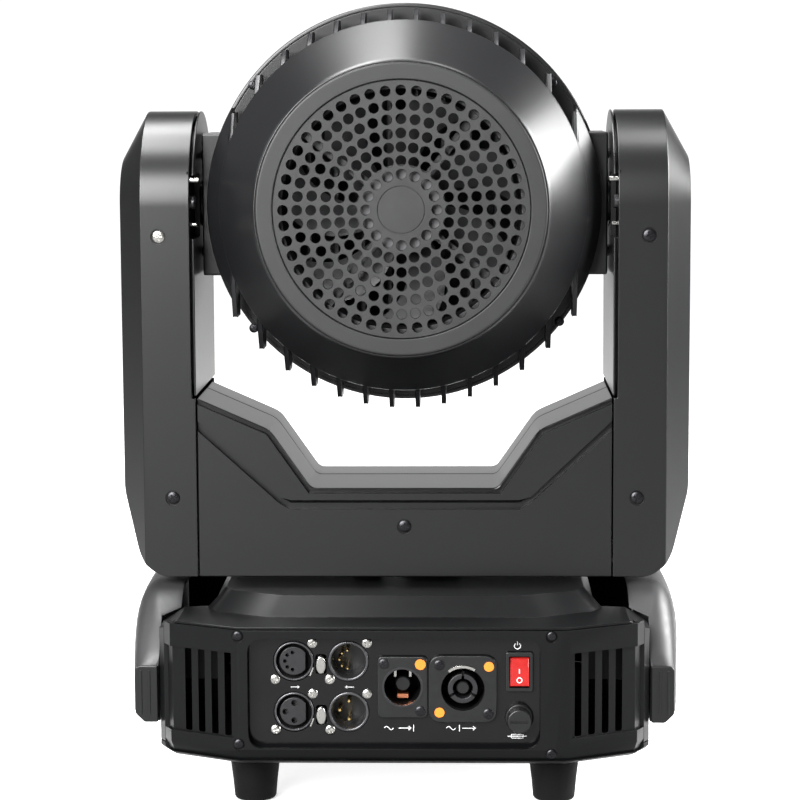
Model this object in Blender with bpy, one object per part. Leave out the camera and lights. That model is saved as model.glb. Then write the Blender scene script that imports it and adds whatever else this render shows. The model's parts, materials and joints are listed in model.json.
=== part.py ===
"""Moving head light: a base, a yoke that pans on it and a head that tilts in the yoke.

Metres, +Z up. The origin is on the floor under the pan axis. -Y is the back, with the
connector panel and the fan grille, and +Y is the front, with the lens.
"""

import math

import bmesh
import bpy
from mathutils import Matrix, Vector

# Driving dimensions
TILT_HEIGHT = 0.311
WALL = 0.0025
GAP = 0.0003

# Base
BASE_FACE = 0.111
CASING_BOTTOM = 0.025
CASING_SPLIT = 0.031
CASING_EAVE = 0.098
CASING_TOP = 0.109
LEDGE = 0.021
BEZEL_BACK = -0.108
BEZEL_ENDS = -0.0857
PANEL_BACK = -0.104
PANEL_THICK = 0.002
PANEL_OPENING = (-0.080, 0.071, 0.034, 0.092)
SEAT_X = 0.060
SEAT_HALF = 0.016
SEAT_FACE = 0.0242
HANDLE_HALF_LENGTH = 0.078
GRIP_HALF_LENGTH = 0.060
GRIP_FLOOR = 0.062
SHAFT_RADIUS = 0.020
PAN_PULLEY_RADIUS = 0.038
PAN_MOTOR_PULLEY_RADIUS = 0.010
PAN_MOTOR_X = -0.072
MOTOR_SIZE = 0.042
MOTOR_SHAFT = 0.0025
PAN_PULLEY_LOW = 0.066
PAN_PULLEY_HIGH = 0.078

# Yoke
YOKE_BOTTOM = 0.1125
YOKE_HALF_DEPTH = 0.050
ARM_INNER = 0.111
ARM_OUTER = 0.1535
FRAME_HALF_WIDTH = 0.1285
FRAME_THICK = 0.003
FRAME_BOTTOM = 0.1158
TILT_SHAFT_RADIUS = 0.012
TILT_BEARING_RADIUS = 0.018
TILT_PULLEY_RADIUS = 0.028
TILT_MOTOR_PULLEY_RADIUS = 0.008
TILT_MOTOR_HEIGHT = 0.232
TILT_PULLEY_SPAN = (0.1166, 0.1244)

# Head, as distances along Y from the tilt axis and radii about the lamp's own axis
RING_RADIUS = 0.108
RING_BORE = 0.095
RING_SPAN = (-0.006, 0.008)
RING_FLAT = 0.1027
SHROUD_RIM = (0.0976, -0.050)
SHROUD_BACK = (0.075, -0.090)
GRILLE_RADIUS = 0.0661
FAN_RADIUS = 0.060
LENS_PITCH = 0.031
LENS_RADIUS = 0.0146
SCREW_OFFSET = 0.0825
HOUSING_RADIUS = 0.096
HEAD_FRONT = 0.086

# Colour, roughness and metallic value of each material
LOOKS = {
    "casing": ((0.035, 0.036, 0.038), 0.45, 0.0),
    "panel": ((0.012, 0.012, 0.014), 0.12, 0.0),
    "plastic": ((0.020, 0.020, 0.022), 0.40, 0.0),
    "rubber": ((0.018, 0.018, 0.018), 0.75, 0.0),
    "steel": ((0.55, 0.55, 0.56), 0.35, 1.0),
    "silver": ((0.72, 0.72, 0.70), 0.25, 1.0),
    "aluminium": ((0.60, 0.61, 0.62), 0.40, 1.0),
    "red": ((0.62, 0.03, 0.02), 0.30, 0.0),
    "board": ((0.05, 0.18, 0.08), 0.50, 0.0),
    "glass": ((0.80, 0.84, 0.86), 0.05, 0.0),
    "lens": ((0.75, 0.78, 0.80), 0.08, 0.0),
}


# ---------------------------------------------------------------- shapes

def finish(bm):
    """Turn a bmesh into a mesh with its faces pointing out."""
    bmesh.ops.recalc_face_normals(bm, faces=bm.faces)
    mesh = bpy.data.meshes.new("shape")
    bm.to_mesh(mesh)
    bm.free()
    return mesh


def skin(rings):
    """Close a solid over rings of points, each ring with the same number of points."""
    bm = bmesh.new()
    loops = [[bm.verts.new(point) for point in ring] for ring in rings]
    count = len(loops[0])
    for one, two in zip(loops, loops[1:]):
        for i in range(count):
            j = (i + 1) % count
            bm.faces.new((one[i], one[j], two[j], two[i]))
    bm.faces.new(loops[0])
    bm.faces.new(loops[-1])
    return finish(bm)


def spread(axis, a, b, c):
    """Place a plane point (a, b) at c along an axis."""
    if axis == "X":
        return (c, a, b)
    if axis == "Y":
        return (a, c, b)
    return (a, b, c)


def prism(axis, outline, low, high):
    """An outline in the plane across an axis, carried from low to high along it."""
    return skin([[spread(axis, a, b, c) for a, b in outline] for c in (low, high)])


def box(x0, x1, y0, y1, z0, z1):
    return prism("Z", [(x0, y0), (x1, y0), (x1, y1), (x0, y1)], z0, z1)


def circle(radius, sides=32, centre=(0.0, 0.0)):
    turn = 2 * math.pi / sides
    return [(centre[0] + radius * math.cos(turn * (i + 0.5)),
             centre[1] + radius * math.sin(turn * (i + 0.5))) for i in range(sides)]


def rod(axis, radius, low, high, centre=(0.0, 0.0), sides=32):
    return prism(axis, circle(radius, sides, centre), low, high)


def turned(axis, profile, centre=(0.0, 0.0), sides=32):
    """A closed ring: a profile of (radius, distance along the axis) turned about the axis."""
    bm = bmesh.new()
    unit = circle(1.0, sides)
    loops = []
    for radius, along in profile:
        ring = [(centre[0] + radius * a, centre[1] + radius * b) for a, b in unit]
        loops.append([bm.verts.new(spread(axis, a, b, along)) for a, b in ring])
    for one, two in zip(loops, loops[1:] + loops[:1]):
        for i in range(sides):
            j = (i + 1) % sides
            bm.faces.new((one[i], one[j], two[j], two[i]))
    return finish(bm)


def tube(axis, inner, outer, low, high, centre=(0.0, 0.0), sides=32):
    profile = [(inner, low), (outer, low), (outer, high), (inner, high)]
    return turned(axis, profile, centre, sides)


def cone(axis, stations, centre=(0.0, 0.0), sides=32):
    """A solid of round sections, each given as (radius, distance along the axis)."""
    rings = []
    for radius, along in stations:
        rings.append([spread(axis, a, b, along) for a, b in circle(radius, sides, centre)])
    return skin(rings)


def inset(outline, distance):
    """Move every side of a closed outline inwards; the outline runs counter-clockwise."""
    moved = []
    count = len(outline)
    for i in range(count):
        before = Vector(outline[i - 1])
        here = Vector(outline[i])
        after = Vector(outline[(i + 1) % count])
        one = (here - before).normalized()
        two = (after - here).normalized()
        normal_one = Vector((-one.y, one.x))
        normal_two = Vector((-two.y, two.x))
        middle = (normal_one + normal_two).normalized()
        moved.append(tuple(here + middle * distance / middle.dot(normal_one)))
    return moved


def both_sides(points):
    """Close a half outline, given from the centre line outwards, with its mirror image."""
    return points + [(-a, b) for a, b in reversed(points)]


def mirrored(mesh, axis):
    """A mirror image of a mesh across the plane through the origin."""
    copy = mesh.copy()
    scale = Vector((-1 if axis == "X" else 1, -1 if axis == "Y" else 1, 1))
    copy.transform(Matrix.Diagonal(scale).to_4x4())
    copy.flip_normals()
    return copy


def combine(body, tool, operation):
    """Change a mesh by a Boolean with another one."""
    collection = bpy.context.scene.collection
    target = bpy.data.objects.new("target", body)
    cutter = bpy.data.objects.new("cutter", tool)
    for item in (target, cutter):
        collection.objects.link(item)
    modifier = target.modifiers.new("cut", "BOOLEAN")
    modifier.operation = operation
    modifier.object = cutter
    graph = bpy.context.evaluated_depsgraph_get()
    mesh = bpy.data.meshes.new_from_object(target.evaluated_get(graph))
    for item in (target, cutter):
        bpy.data.objects.remove(item)
    return mesh


def cut(body, *tools):
    for tool in tools:
        body = combine(body, tool, "DIFFERENCE")
    return body


def keep(body, tool):
    return combine(body, tool, "INTERSECT")


def join(body, *tools):
    for tool in tools:
        body = combine(body, tool, "UNION")
    return body


# ---------------------------------------------------------------- objects

def material(look):
    name = look + "_material"
    found = bpy.data.materials.get(name)
    if found:
        return found
    colour, roughness, metallic = LOOKS[look]
    made = bpy.data.materials.new(name)
    made.use_nodes = True
    shader = made.node_tree.nodes["Principled BSDF"]
    shader.inputs["Base Color"].default_value = (*colour, 1.0)
    shader.inputs["Roughness"].default_value = roughness
    shader.inputs["Metallic"].default_value = metallic
    return made


def empty(name, place, parent=None):
    """An axis or a group that pieces hang from."""
    made = bpy.data.objects.new(name, None)
    made.empty_display_size = 0.02
    bpy.context.scene.collection.objects.link(made)
    made.parent = parent
    made.location = Vector(place) - (world_place(parent) if parent else Vector())
    return made


def world_place(item):
    place = Vector()
    while item:
        place += item.location
        item = item.parent
    return place


def piece(name, mesh, look, parent):
    """Name a mesh made in world coordinates and hang it from its joint's empty."""
    mesh = mesh.copy()
    mesh.name = name
    origin = world_place(parent)
    mesh.transform(Matrix.Translation(-origin))
    mesh.shade_smooth()
    mesh.set_sharp_from_angle(angle=math.radians(35))
    mesh.materials.clear()
    mesh.materials.append(material(look))
    made = bpy.data.objects.new(name, mesh)
    bpy.context.scene.collection.objects.link(made)
    made.parent = parent
    return made


# ---------------------------------------------------------------- base

def casing_plan(distance=0.0):
    """The casing's outline from above, with chamfered corners."""
    back = [(0.085, -BASE_FACE), (0.122, -0.0925), (0.129, -0.080)]
    front = [(x, -y) for x, y in reversed(back)]
    right = back + front
    left = [(-x, -y) for x, y in right]
    return inset(right + left, distance)


def at_height(outline, z):
    return [(x, y, z) for x, y in outline]


def drawn_in(outline, distance, z):
    """The outline scaled so that its front and back move in by a distance."""
    scale = 1 - distance / BASE_FACE
    return [(x * scale, y * scale, z) for x, y in outline]


def bezel_zone(low, high, reach=0.0):
    """The space behind the casing that the rear bezel takes."""
    return box(-0.15, 0.15, -0.13, BEZEL_ENDS + reach, low, high)


def make_tray(group):
    bottom = CASING_BOTTOM
    floor = bottom + WALL
    rings = [
        at_height(casing_plan(0.006), bottom),
        at_height(casing_plan(), CASING_SPLIT - 0.002),
        at_height(casing_plan(), CASING_SPLIT),
        at_height(casing_plan(WALL), CASING_SPLIT),
        at_height(casing_plan(WALL), floor + 0.002),
        at_height(casing_plan(0.009), floor),
    ]
    tray = cut(skin(rings), bezel_zone(floor + GAP, CASING_EAVE, GAP))
    for side in (1, -1):
        near, far = sorted((side * (SEAT_X - SEAT_HALF), side * (SEAT_X + SEAT_HALF)))
        tray = join(tray, box(near, far, -0.024, 0.024, SEAT_FACE, floor - 0.0005))
    piece("base_tray", tray, "casing", group)


def casing_solid(shrink, bottom, grip_growth):
    """The top cover's outer shape, or with a shrink its inner one, notched for both grips."""
    rings = [
        at_height(casing_plan(shrink), bottom),
        at_height(casing_plan(shrink), CASING_EAVE - shrink),
        drawn_in(casing_plan(shrink), LEDGE, CASING_EAVE + 0.0008 - shrink),
        drawn_in(casing_plan(shrink), LEDGE + 0.008, CASING_TOP - shrink),
    ]
    ridge = CASING_TOP + GAP
    gable = [(-0.16, 0.0), (0.16, 0.0), (0.16, 0.072), (0.0995, ridge), (-0.0995, ridge), (-0.16, 0.072)]
    solid = keep(skin(rings), prism("Y", inset(gable, shrink), -0.12, 0.12))
    for side in (1, -1):
        inner = side * (0.1 - grip_growth)
        outer = side * 0.15
        reach = GRIP_HALF_LENGTH + grip_growth
        notch = box(min(inner, outer), max(inner, outer), -reach, reach,
                    GRIP_FLOOR - grip_growth, 0.13)
        solid = cut(solid, notch)
    return solid


def make_cover(group):
    outer = casing_solid(0.0, CASING_SPLIT + GAP, 0.0)
    inner = casing_solid(WALL, CASING_SPLIT - 0.005, WALL)
    cover = cut(outer, inner, bezel_zone(0.02, CASING_EAVE - 0.0012, GAP))
    cover = cut(cover, rod("Z", SHAFT_RADIUS + 0.001, 0.09, 0.12))
    for button in range(4):
        cover = cut(cover, rod("Y", 0.0047, 0.10, 0.12, button_centre(button), 12))
    piece("base_top_cover", cover, "casing", group)


def make_bezel(group):
    low = CASING_BOTTOM + WALL + 2 * GAP
    high = CASING_EAVE - 0.0015
    solid = prism("Z", casing_plan(), low, high)
    solid = cut(solid, prism("Z", casing_plan(BASE_FACE + BEZEL_BACK), 0.0, 0.12))
    solid = keep(solid, bezel_zone(0.0, 0.12))
    x0, x1, z0, z1 = PANEL_OPENING
    solid = cut(solid, box(x0, x1, -0.12, -0.10, z0, z1))
    for side in (1, -1):
        for slot in range(4):
            x = side * (0.0905 + 0.0072 * slot)
            solid = cut(solid, box(x - 0.0017, x + 0.0017, -0.12, -0.08, 0.040, 0.084))
    piece("rear_bezel", solid, "casing", group)


def handle_section(y, side):
    """The handle's outline across Y: a wall that bulges out and arches over to a grip."""
    bulge = 0.005 * (1 - (y / HANDLE_HALF_LENGTH) ** 2)
    outer = 0.143 + bulge
    crown = [(outer - 0.0145 * (1 - math.cos(turn)), 0.080 + 0.029 * math.sin(turn))
             for turn in [math.radians(step * 15) for step in range(6)]]
    inner = [(0.1195, CASING_TOP), (0.1195, 0.106), (0.1235, 0.1015), (0.1268, 0.0965),
             (0.1296, 0.0935), (0.1296, 0.040)]
    section = [(0.135, 0.040), (outer - 0.003, 0.045), (outer, 0.052)] + crown + inner
    return [(side * x, y, z) for x, z in section]


def make_handles(group):
    for name, side in (("left", -1), ("right", 1)):
        steps = 8
        stations = [HANDLE_HALF_LENGTH * (2 * i / steps - 1) for i in range(steps + 1)]
        handle = skin([handle_section(y, side) for y in stations])
        piece("side_handle_" + name, handle, "casing", group)


def make_feet(group):
    for fore, y in (("rear", -0.080), ("front", 0.080)):
        for side, x in (("left", -0.079), ("right", 0.079)):
            stations = [(0.010, 0.0), (0.011, 0.001), (0.0135, CASING_BOTTOM - GAP)]
            foot = cone("Z", stations, (x, y), 24)
            piece("foot_" + fore + "_" + side, foot, "rubber", group)


# Connector places on the panel, as (X, Z)
XLR_PLACES = {
    "dmx_out_5_pin": (-0.0564, 0.0788),
    "dmx_out_3_pin": (-0.0564, 0.0520),
    "dmx_in_5_pin": (-0.0281, 0.0788),
    "dmx_in_3_pin": (-0.0281, 0.0520),
}
LATCH_PLACES = {"upper": (-0.0423, 0.0772), "lower": (-0.0423, 0.0504)}
INLET_PLACE = (-0.0001, 0.0655)
OUTLET_PLACE = (0.0311, 0.0645)
SWITCH_PLACE = (0.0603, 0.0735)
FUSE_PLACE = (0.0602, 0.0493)
XLR_RADIUS = 0.0112


def plate(centre, width, height, low, high):
    """A rectangle across Y, from low to high along it."""
    x, z = centre
    return box(x - width / 2, x + width / 2, low, high, z - height / 2, z + height / 2)


def make_panel(group):
    back = PANEL_BACK
    front = PANEL_BACK + PANEL_THICK
    panel = box(-0.083, 0.074, back, front, 0.031, 0.0945)
    for place in XLR_PLACES.values():
        panel = cut(panel, rod("Y", XLR_RADIUS + GAP, -0.11, -0.10, place, 24))
    for place in LATCH_PLACES.values():
        panel = cut(panel, plate(place, 0.0058, 0.0104, -0.11, -0.10))
    for place, radius in ((INLET_PLACE, 0.0118), (OUTLET_PLACE, 0.0128), (FUSE_PLACE, 0.0068)):
        panel = cut(panel, rod("Y", radius, -0.11, -0.10, place, 24))
    panel = cut(panel, plate(SWITCH_PLACE, 0.0126, 0.0186, -0.11, -0.10))
    piece("connector_panel", panel, "panel", group)


def make_connectors(group):
    block_back = PANEL_BACK + PANEL_THICK + GAP
    for name, place in XLR_PLACES.items():
        body = rod("Y", XLR_RADIUS, -0.1048, -0.095, place, 24)
        body = join(body, plate(place, 0.0235, 0.0235, block_back, -0.084))
        depth = -0.090 if "in" in name.split("_") else -0.1030
        body = cut(body, rod("Y", 0.0099, -0.11, depth, place, 24))
        piece(name, body, "plastic", group)

    flange_back = -0.1065
    flange_front = PANEL_BACK - GAP
    inlet = plate(INLET_PLACE, 0.026, 0.0325, flange_back, flange_front)
    inlet = join(inlet, rod("Y", 0.0115, flange_back + 0.0005, -0.075, INLET_PLACE, 24))
    inlet = cut(inlet, rod("Y", 0.0097, -0.11, -0.080, INLET_PLACE, 24))
    piece("power_inlet", inlet, "plastic", group)

    outlet = plate(OUTLET_PLACE, 0.0355, 0.0355, flange_back, flange_front)
    outlet = join(outlet, rod("Y", 0.0125, flange_back + 0.0005, -0.075, OUTLET_PLACE, 24))
    outlet = cut(outlet, rod("Y", 0.0112, -0.11, -0.090, OUTLET_PLACE, 24))
    piece("power_outlet", outlet, "plastic", group)


def make_switch(group):
    frame = plate(SWITCH_PLACE, 0.0145, 0.021, -0.106, PANEL_BACK - GAP)
    frame = join(frame, plate(SWITCH_PLACE, 0.012, 0.018, -0.105, -0.088))
    frame = cut(frame, plate(SWITCH_PLACE, 0.0106, 0.0166, -0.11, -0.094))
    piece("switch_frame", frame, "plastic", group)

    x, z = SWITCH_PLACE
    pivot = empty("switch_axis", (x, -0.1035, z), group)
    outline = [(-0.0980, z - 0.005), (-0.1064, z - 0.0074), (-0.1052, z), (-0.1036, z + 0.0074),
               (-0.0980, z + 0.005)]
    rocker = prism("X", outline, x - 0.0049, x + 0.0049)
    piece("switch_rocker", rocker, "red", pivot)


def make_latches(group):
    for name, (x, z) in LATCH_PLACES.items():
        axis = empty("latch_axis_" + name, (x, -0.105, z), group)
        tab = [(x + 0.0026 * math.cos(turn), z + 0.0048 * math.sin(turn))
               for turn in [2 * math.pi * i / 16 for i in range(16)]]
        piece("latch_tab_" + name, prism("Y", tab, -0.1068, -0.1035), "silver", axis)


def make_fuse(group):
    x, z = FUSE_PLACE
    holder = rod("Y", 0.0075, -0.1062, PANEL_BACK - GAP, FUSE_PLACE, 24)
    holder = join(holder, rod("Y", 0.0063, -0.105, -0.080, FUSE_PLACE, 24))
    holder = cut(holder, rod("Y", 0.0048, -0.11, -0.082, FUSE_PLACE, 16))
    piece("fuse_holder", holder, "plastic", group)

    axis = empty("fuse_axis", (x, -0.107, z), group)
    cap = cone("Y", [(0.0058, -0.1145), (0.0063, -0.1140), (0.0063, -0.1066)], FUSE_PLACE, 24)
    cap = join(cap, rod("Y", 0.0044, -0.107, -0.086, FUSE_PLACE, 16))
    cap = cut(cap, plate(FUSE_PLACE, 0.0085, 0.0012, -0.12, -0.1135))
    piece("fuse_cap", cap, "plastic", axis)


def button_centre(index):
    return (0.024 + 0.0125 * (index % 2), 0.072 - 0.0145 * (index // 2))


def make_controls(group):
    """The display panel on the front of the base, and its four menu buttons."""
    panel = box(-0.050, 0.050, BASE_FACE + GAP, 0.1125, 0.044, 0.086)
    for index in range(4):
        panel = cut(panel, rod("Y", 0.0047, 0.10, 0.12, button_centre(index), 12))
    piece("display_panel", panel, "panel", group)
    names = ("menu", "up", "enter", "down")
    for index, name in enumerate(names):
        x, z = button_centre(index)
        axis = empty("button_axis_" + name, (x, 0.1115, z), group)
        button = rod("Y", 0.0042, 0.1100, 0.1145, (x, z), 16)
        piece("button_" + name, button, "plastic", axis)


def make_base_inside(group):
    supply = box(-0.044, 0.086, -0.068, 0.055, CASING_BOTTOM + WALL + GAP, 0.058)
    piece("power_supply", supply, "aluminium", group)

    half = MOTOR_SIZE / 2
    centre = (PAN_MOTOR_X, 0.0)
    motor = box(PAN_MOTOR_X - half, PAN_MOTOR_X + half, -half, half, CASING_BOTTOM + WALL + GAP, 0.058)
    motor = join(motor, rod("Z", 0.011, 0.057, 0.060, centre, 16))
    motor = join(motor, rod("Z", MOTOR_SHAFT, 0.057, 0.0765, centre, 12))
    piece("pan_motor", motor, "plastic", group)

    axis = empty("pan_motor_axis", (PAN_MOTOR_X, 0.0, PAN_PULLEY_LOW), group)
    pulley = tube("Z", 0.0029, PAN_MOTOR_PULLEY_RADIUS, PAN_PULLEY_LOW, PAN_PULLEY_HIGH, centre, 24)
    piece("pan_motor_pulley", pulley, "aluminium", axis)

    span = (PAN_PULLEY_LOW + 0.002, PAN_PULLEY_HIGH - 0.002)
    belt = belt_loop("Z", (0.0, 0.0), PAN_PULLEY_RADIUS, centre, PAN_MOTOR_PULLEY_RADIUS, span)
    piece("pan_belt", belt, "rubber", group)

    bearing = tube("Z", SHAFT_RADIUS + GAP, 0.027, 0.094, CASING_TOP - WALL - GAP)
    piece("pan_bearing", bearing, "steel", group)


def wrap(one, radius_one, two, radius_two, steps=16):
    """The outline of a band stretched round two circles."""
    across = Vector(two) - Vector(one)
    heading = math.atan2(across.y, across.x)
    lean = math.acos((radius_one - radius_two) / across.length)
    outline = []
    for centre, radius, start, sweep in (
            (one, radius_one, heading + lean, 2 * math.pi - 2 * lean),
            (two, radius_two, heading - lean, 2 * lean)):
        for i in range(steps + 1):
            turn = start + sweep * i / steps
            outline.append((centre[0] + radius * math.cos(turn), centre[1] + radius * math.sin(turn)))
    return outline


def belt_loop(axis, one, radius_one, two, radius_two, span):
    """A toothed belt's plain outer shape round two pulleys, a closed ring."""
    thick = 0.0015
    inner = wrap(one, radius_one + GAP, two, radius_two + GAP)
    outer = wrap(one, radius_one + GAP + thick, two, radius_two + GAP + thick)
    rings = [(inner, span[0]), (outer, span[0]), (outer, span[1]), (inner, span[1])]
    bm = bmesh.new()
    loops = []
    for outline, along in rings:
        loops.append([bm.verts.new(spread(axis, a, b, along)) for a, b in outline])
    for one_loop, two_loop in zip(loops, loops[1:] + loops[:1]):
        for i in range(len(one_loop)):
            j = (i + 1) % len(one_loop)
            bm.faces.new((one_loop[i], one_loop[j], two_loop[j], two_loop[i]))
    return finish(bm)


# ---------------------------------------------------------------- yoke

def crossbar_outline(half_width, shrink):
    """The crossbar across Y, open above a V with a flat floor."""
    half = [(half_width, YOKE_BOTTOM), (half_width, 0.2092), (0.0717, 0.1922), (0.0497, 0.1608)]
    left = [(-x, z) for x, z in reversed(half)]
    return inset(half + left, shrink)


def make_crossbar(group):
    half = ARM_INNER - 0.0005
    outer = prism("Y", crossbar_outline(half, 0.0), -YOKE_HALF_DEPTH, -GAP / 2)
    inner = prism("Y", crossbar_outline(half + 0.01, WALL), -YOKE_HALF_DEPTH + WALL, 0.01)
    cover = cut(outer, inner, rod("Z", SHAFT_RADIUS + 0.001, 0.10, 0.12))
    piece("crossbar_rear_cover", cover, "casing", group)
    piece("crossbar_front_cover", mirrored(cover, "Y"), "casing", group)


def arm_side_outline(radius, low):
    """An arm seen from the side: straight, with a round top about the tilt axis."""
    arc = [(radius * math.cos(math.pi * i / 16), TILT_HEIGHT + radius * math.sin(math.pi * i / 16))
           for i in range(17)]
    return [(-radius, low), (radius, low)] + arc


def arm_solid(distance, inner):
    """An arm with a wide chamfer that follows its side outline round the top."""
    wide, deep = 0.014, 0.025
    slope = deep / wide
    reach = math.hypot(1.0, slope)
    radius = YOKE_HALF_DEPTH - distance
    stations = [(0.09, radius), (ARM_OUTER - wide - distance * (reach - 1) / slope, radius),
                (ARM_OUTER - distance, YOKE_HALF_DEPTH - deep - distance * (reach - slope))]
    low = YOKE_BOTTOM + distance
    solid = skin([[spread("X", y, z, x) for y, z in arm_side_outline(r, low)] for x, r in stations])
    rear = [(0.08, YOKE_BOTTOM), (0.132, YOKE_BOTTOM), (0.143, 0.122), (ARM_OUTER, 0.156),
            (ARM_OUTER, 0.380), (0.08, 0.380)]
    solid = keep(solid, prism("Y", inset(rear, distance), -0.06, 0.06))
    if inner > 0.09:
        solid = cut(solid, box(0.08, inner, -0.07, 0.07, 0.10, 0.38))
    return solid


def make_arms(group):
    cover = cut(arm_solid(0.0, ARM_INNER), arm_solid(WALL, 0.0))
    piece("arm_cover_right", cover, "casing", group)
    piece("arm_cover_left", mirrored(cover, "X"), "casing", group)

    slab = box(ARM_INNER + GAP, ARM_INNER + GAP + 0.002, -0.06, 0.06, 0.2105, 0.37)
    inner_cover = keep(arm_solid(WALL + GAP, 0.0), slab)
    hole = rod("X", TILT_SHAFT_RADIUS + 0.001, 0.10, 0.12, (0.0, TILT_HEIGHT))
    inner_cover = cut(inner_cover, hole)
    piece("arm_inner_cover_right", inner_cover, "casing", group)
    piece("arm_inner_cover_left", mirrored(inner_cover, "X"), "casing", group)


def make_yoke_frame(group):
    low = FRAME_BOTTOM
    thick = FRAME_THICK
    inside = FRAME_HALF_WIDTH - thick
    top = 0.340
    outline = both_sides([(inside, top), (FRAME_HALF_WIDTH, top), (FRAME_HALF_WIDTH, low)])
    outline = [(-inside, low + thick), (inside, low + thick)] + outline
    frame = prism("Y", outline, -0.030, 0.030)
    frame = cut(frame, rod("Z", TILT_SHAFT_RADIUS, 0.11, 0.12))
    frame = cut(frame, rod("X", TILT_BEARING_RADIUS + GAP, -0.14, 0.14, (0.0, TILT_HEIGHT)))
    frame = cut(frame, rod("X", 0.004, 0.12, 0.14, (0.0, TILT_MOTOR_HEIGHT), 12))
    piece("yoke_frame", frame, "steel", group)


def make_pan_shaft(group):
    bore = TILT_SHAFT_RADIUS
    low, high, top = PAN_PULLEY_LOW, PAN_PULLEY_HIGH, FRAME_BOTTOM - GAP
    profile = [(bore, low), (PAN_PULLEY_RADIUS, low), (PAN_PULLEY_RADIUS, high),
               (SHAFT_RADIUS, high), (SHAFT_RADIUS, top), (bore, top)]
    piece("pan_shaft_and_pulley", turned("Z", profile), "aluminium", group)


def make_tilt_drive(group, head):
    place = (0.0, TILT_MOTOR_HEIGHT)
    low = FRAME_HALF_WIDTH + GAP
    half = MOTOR_SIZE / 2
    motor = box(low, 0.1495, -half, half, TILT_MOTOR_HEIGHT - half, TILT_MOTOR_HEIGHT + half)
    motor = join(motor, rod("X", MOTOR_SHAFT, TILT_PULLEY_SPAN[0], low + 0.001, place, 12))
    piece("tilt_motor", motor, "plastic", group)

    axis = empty("tilt_motor_axis", (TILT_PULLEY_SPAN[0], 0.0, TILT_MOTOR_HEIGHT), group)
    pulley = tube("X", 0.0029, TILT_MOTOR_PULLEY_RADIUS, *TILT_PULLEY_SPAN, place, 24)
    piece("tilt_motor_pulley", pulley, "aluminium", axis)

    span = (TILT_PULLEY_SPAN[0] + 0.001, TILT_PULLEY_SPAN[1] - 0.001)
    belt = belt_loop("X", (0.0, TILT_HEIGHT), TILT_PULLEY_RADIUS, place, TILT_MOTOR_PULLEY_RADIUS, span)
    piece("tilt_belt", belt, "rubber", group)

    bearing = tube("X", TILT_SHAFT_RADIUS + GAP, TILT_BEARING_RADIUS, 0.1248, 0.1296, (0.0, TILT_HEIGHT))
    piece("tilt_bearing_right", bearing, "steel", group)
    piece("tilt_bearing_left", mirrored(bearing, "X"), "steel", group)

    pulley = tube("X", TILT_SHAFT_RADIUS + GAP, TILT_PULLEY_RADIUS, *TILT_PULLEY_SPAN, (0.0, TILT_HEIGHT))
    piece("tilt_pulley", pulley, "aluminium", head)


# ---------------------------------------------------------------- head

LAMP_AXIS = (0.0, TILT_HEIGHT)


def make_ring(head):
    ring = tube("Y", RING_BORE, RING_RADIUS, *RING_SPAN, LAMP_AXIS, 48)
    flat = RING_FLAT - GAP
    ring = keep(ring, box(-flat, flat, -0.1, 0.1, 0.15, 0.45))
    piece("head_ring", ring, "casing", head)


def make_trunnions(head):
    plate_outline = [(-0.020, -0.038), (0.020, -0.038), (0.020, 0.038), (-0.020, 0.038)]
    plate_outline = [(y, TILT_HEIGHT + z) for y, z in plate_outline]
    trunnion = prism("X", plate_outline, RING_FLAT, 0.1095)
    trunnion = join(trunnion, rod("X", TILT_SHAFT_RADIUS, 0.105, 0.132, LAMP_AXIS))
    trunnion = cut(trunnion, rod("X", 0.008, 0.10, 0.14, LAMP_AXIS, 24))
    piece("trunnion_right", trunnion, "steel", head)
    piece("trunnion_left", mirrored(trunnion, "X"), "steel", head)


def make_shroud(head):
    (rim_r, rim_y), (back_r, back_y) = SHROUD_RIM, SHROUD_BACK
    mouth = GRILLE_RADIUS + GAP
    profile = [(rim_r, rim_y), (back_r, back_y), (mouth, back_y), (mouth, back_y + WALL),
               (back_r - 0.0015, back_y + WALL), (rim_r - WALL, rim_y)]
    shroud = turned("Y", profile, LAMP_AXIS, 48)
    ears = tube("Y", 0.0935, 0.105, -0.0515, -0.0225, LAMP_AXIS, 48)
    ears = keep(ears, box(-0.12, 0.12, -0.1, 0.1, TILT_HEIGHT - 0.043, TILT_HEIGHT + 0.043))
    shroud = join(shroud, ears)
    piece("rear_shroud", shroud, "casing", head)


def make_grille(head):
    grille = rod("Y", GRILLE_RADIUS, SHROUD_BACK[1] + 0.0002, SHROUD_BACK[1] + WALL, LAMP_AXIS, 48)
    holes = bmesh.new()
    for radius, count in ((0.026, 9), (0.047, 16)):
        for i in range(count):
            turn = 2 * math.pi * i / count
            centre = (radius * math.cos(turn), TILT_HEIGHT + radius * math.sin(turn))
            holes.from_mesh(rod("Y", 0.0075, -0.095, -0.08, centre, 6))
    grille = cut(grille, finish(holes))
    piece("rear_grille", grille, "plastic", head)


def make_heat_sink(head):
    """A plate with upright fins that fill the shroud and show between it and the ring."""
    pitch = 0.014
    half = 0.001
    plate_back, plate_front = -0.016, -0.010
    outline = [(0.094, plate_front), (-0.094, plate_front), (-0.094, plate_back)]
    for i in range(12):
        x = (i - 5.5) * pitch
        outline += [(x - half, plate_back), (x - half, -0.058), (x + half, -0.058), (x + half, plate_back)]
    outline += [(0.094, plate_back)]
    sink = prism("Z", outline, TILT_HEIGHT - 0.11, TILT_HEIGHT + 0.11)
    stations = [(0.094, -0.009), (0.094, plate_back), (0.104, plate_back - 0.0005),
                (0.104, -0.0370), (0.0968, -0.0495), (0.0938, -0.0498), (0.084, -0.059)]
    envelope = cone("Y", stations, LAMP_AXIS, 40)
    piece("heat_sink", keep(sink, envelope), "aluminium", head)


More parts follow.
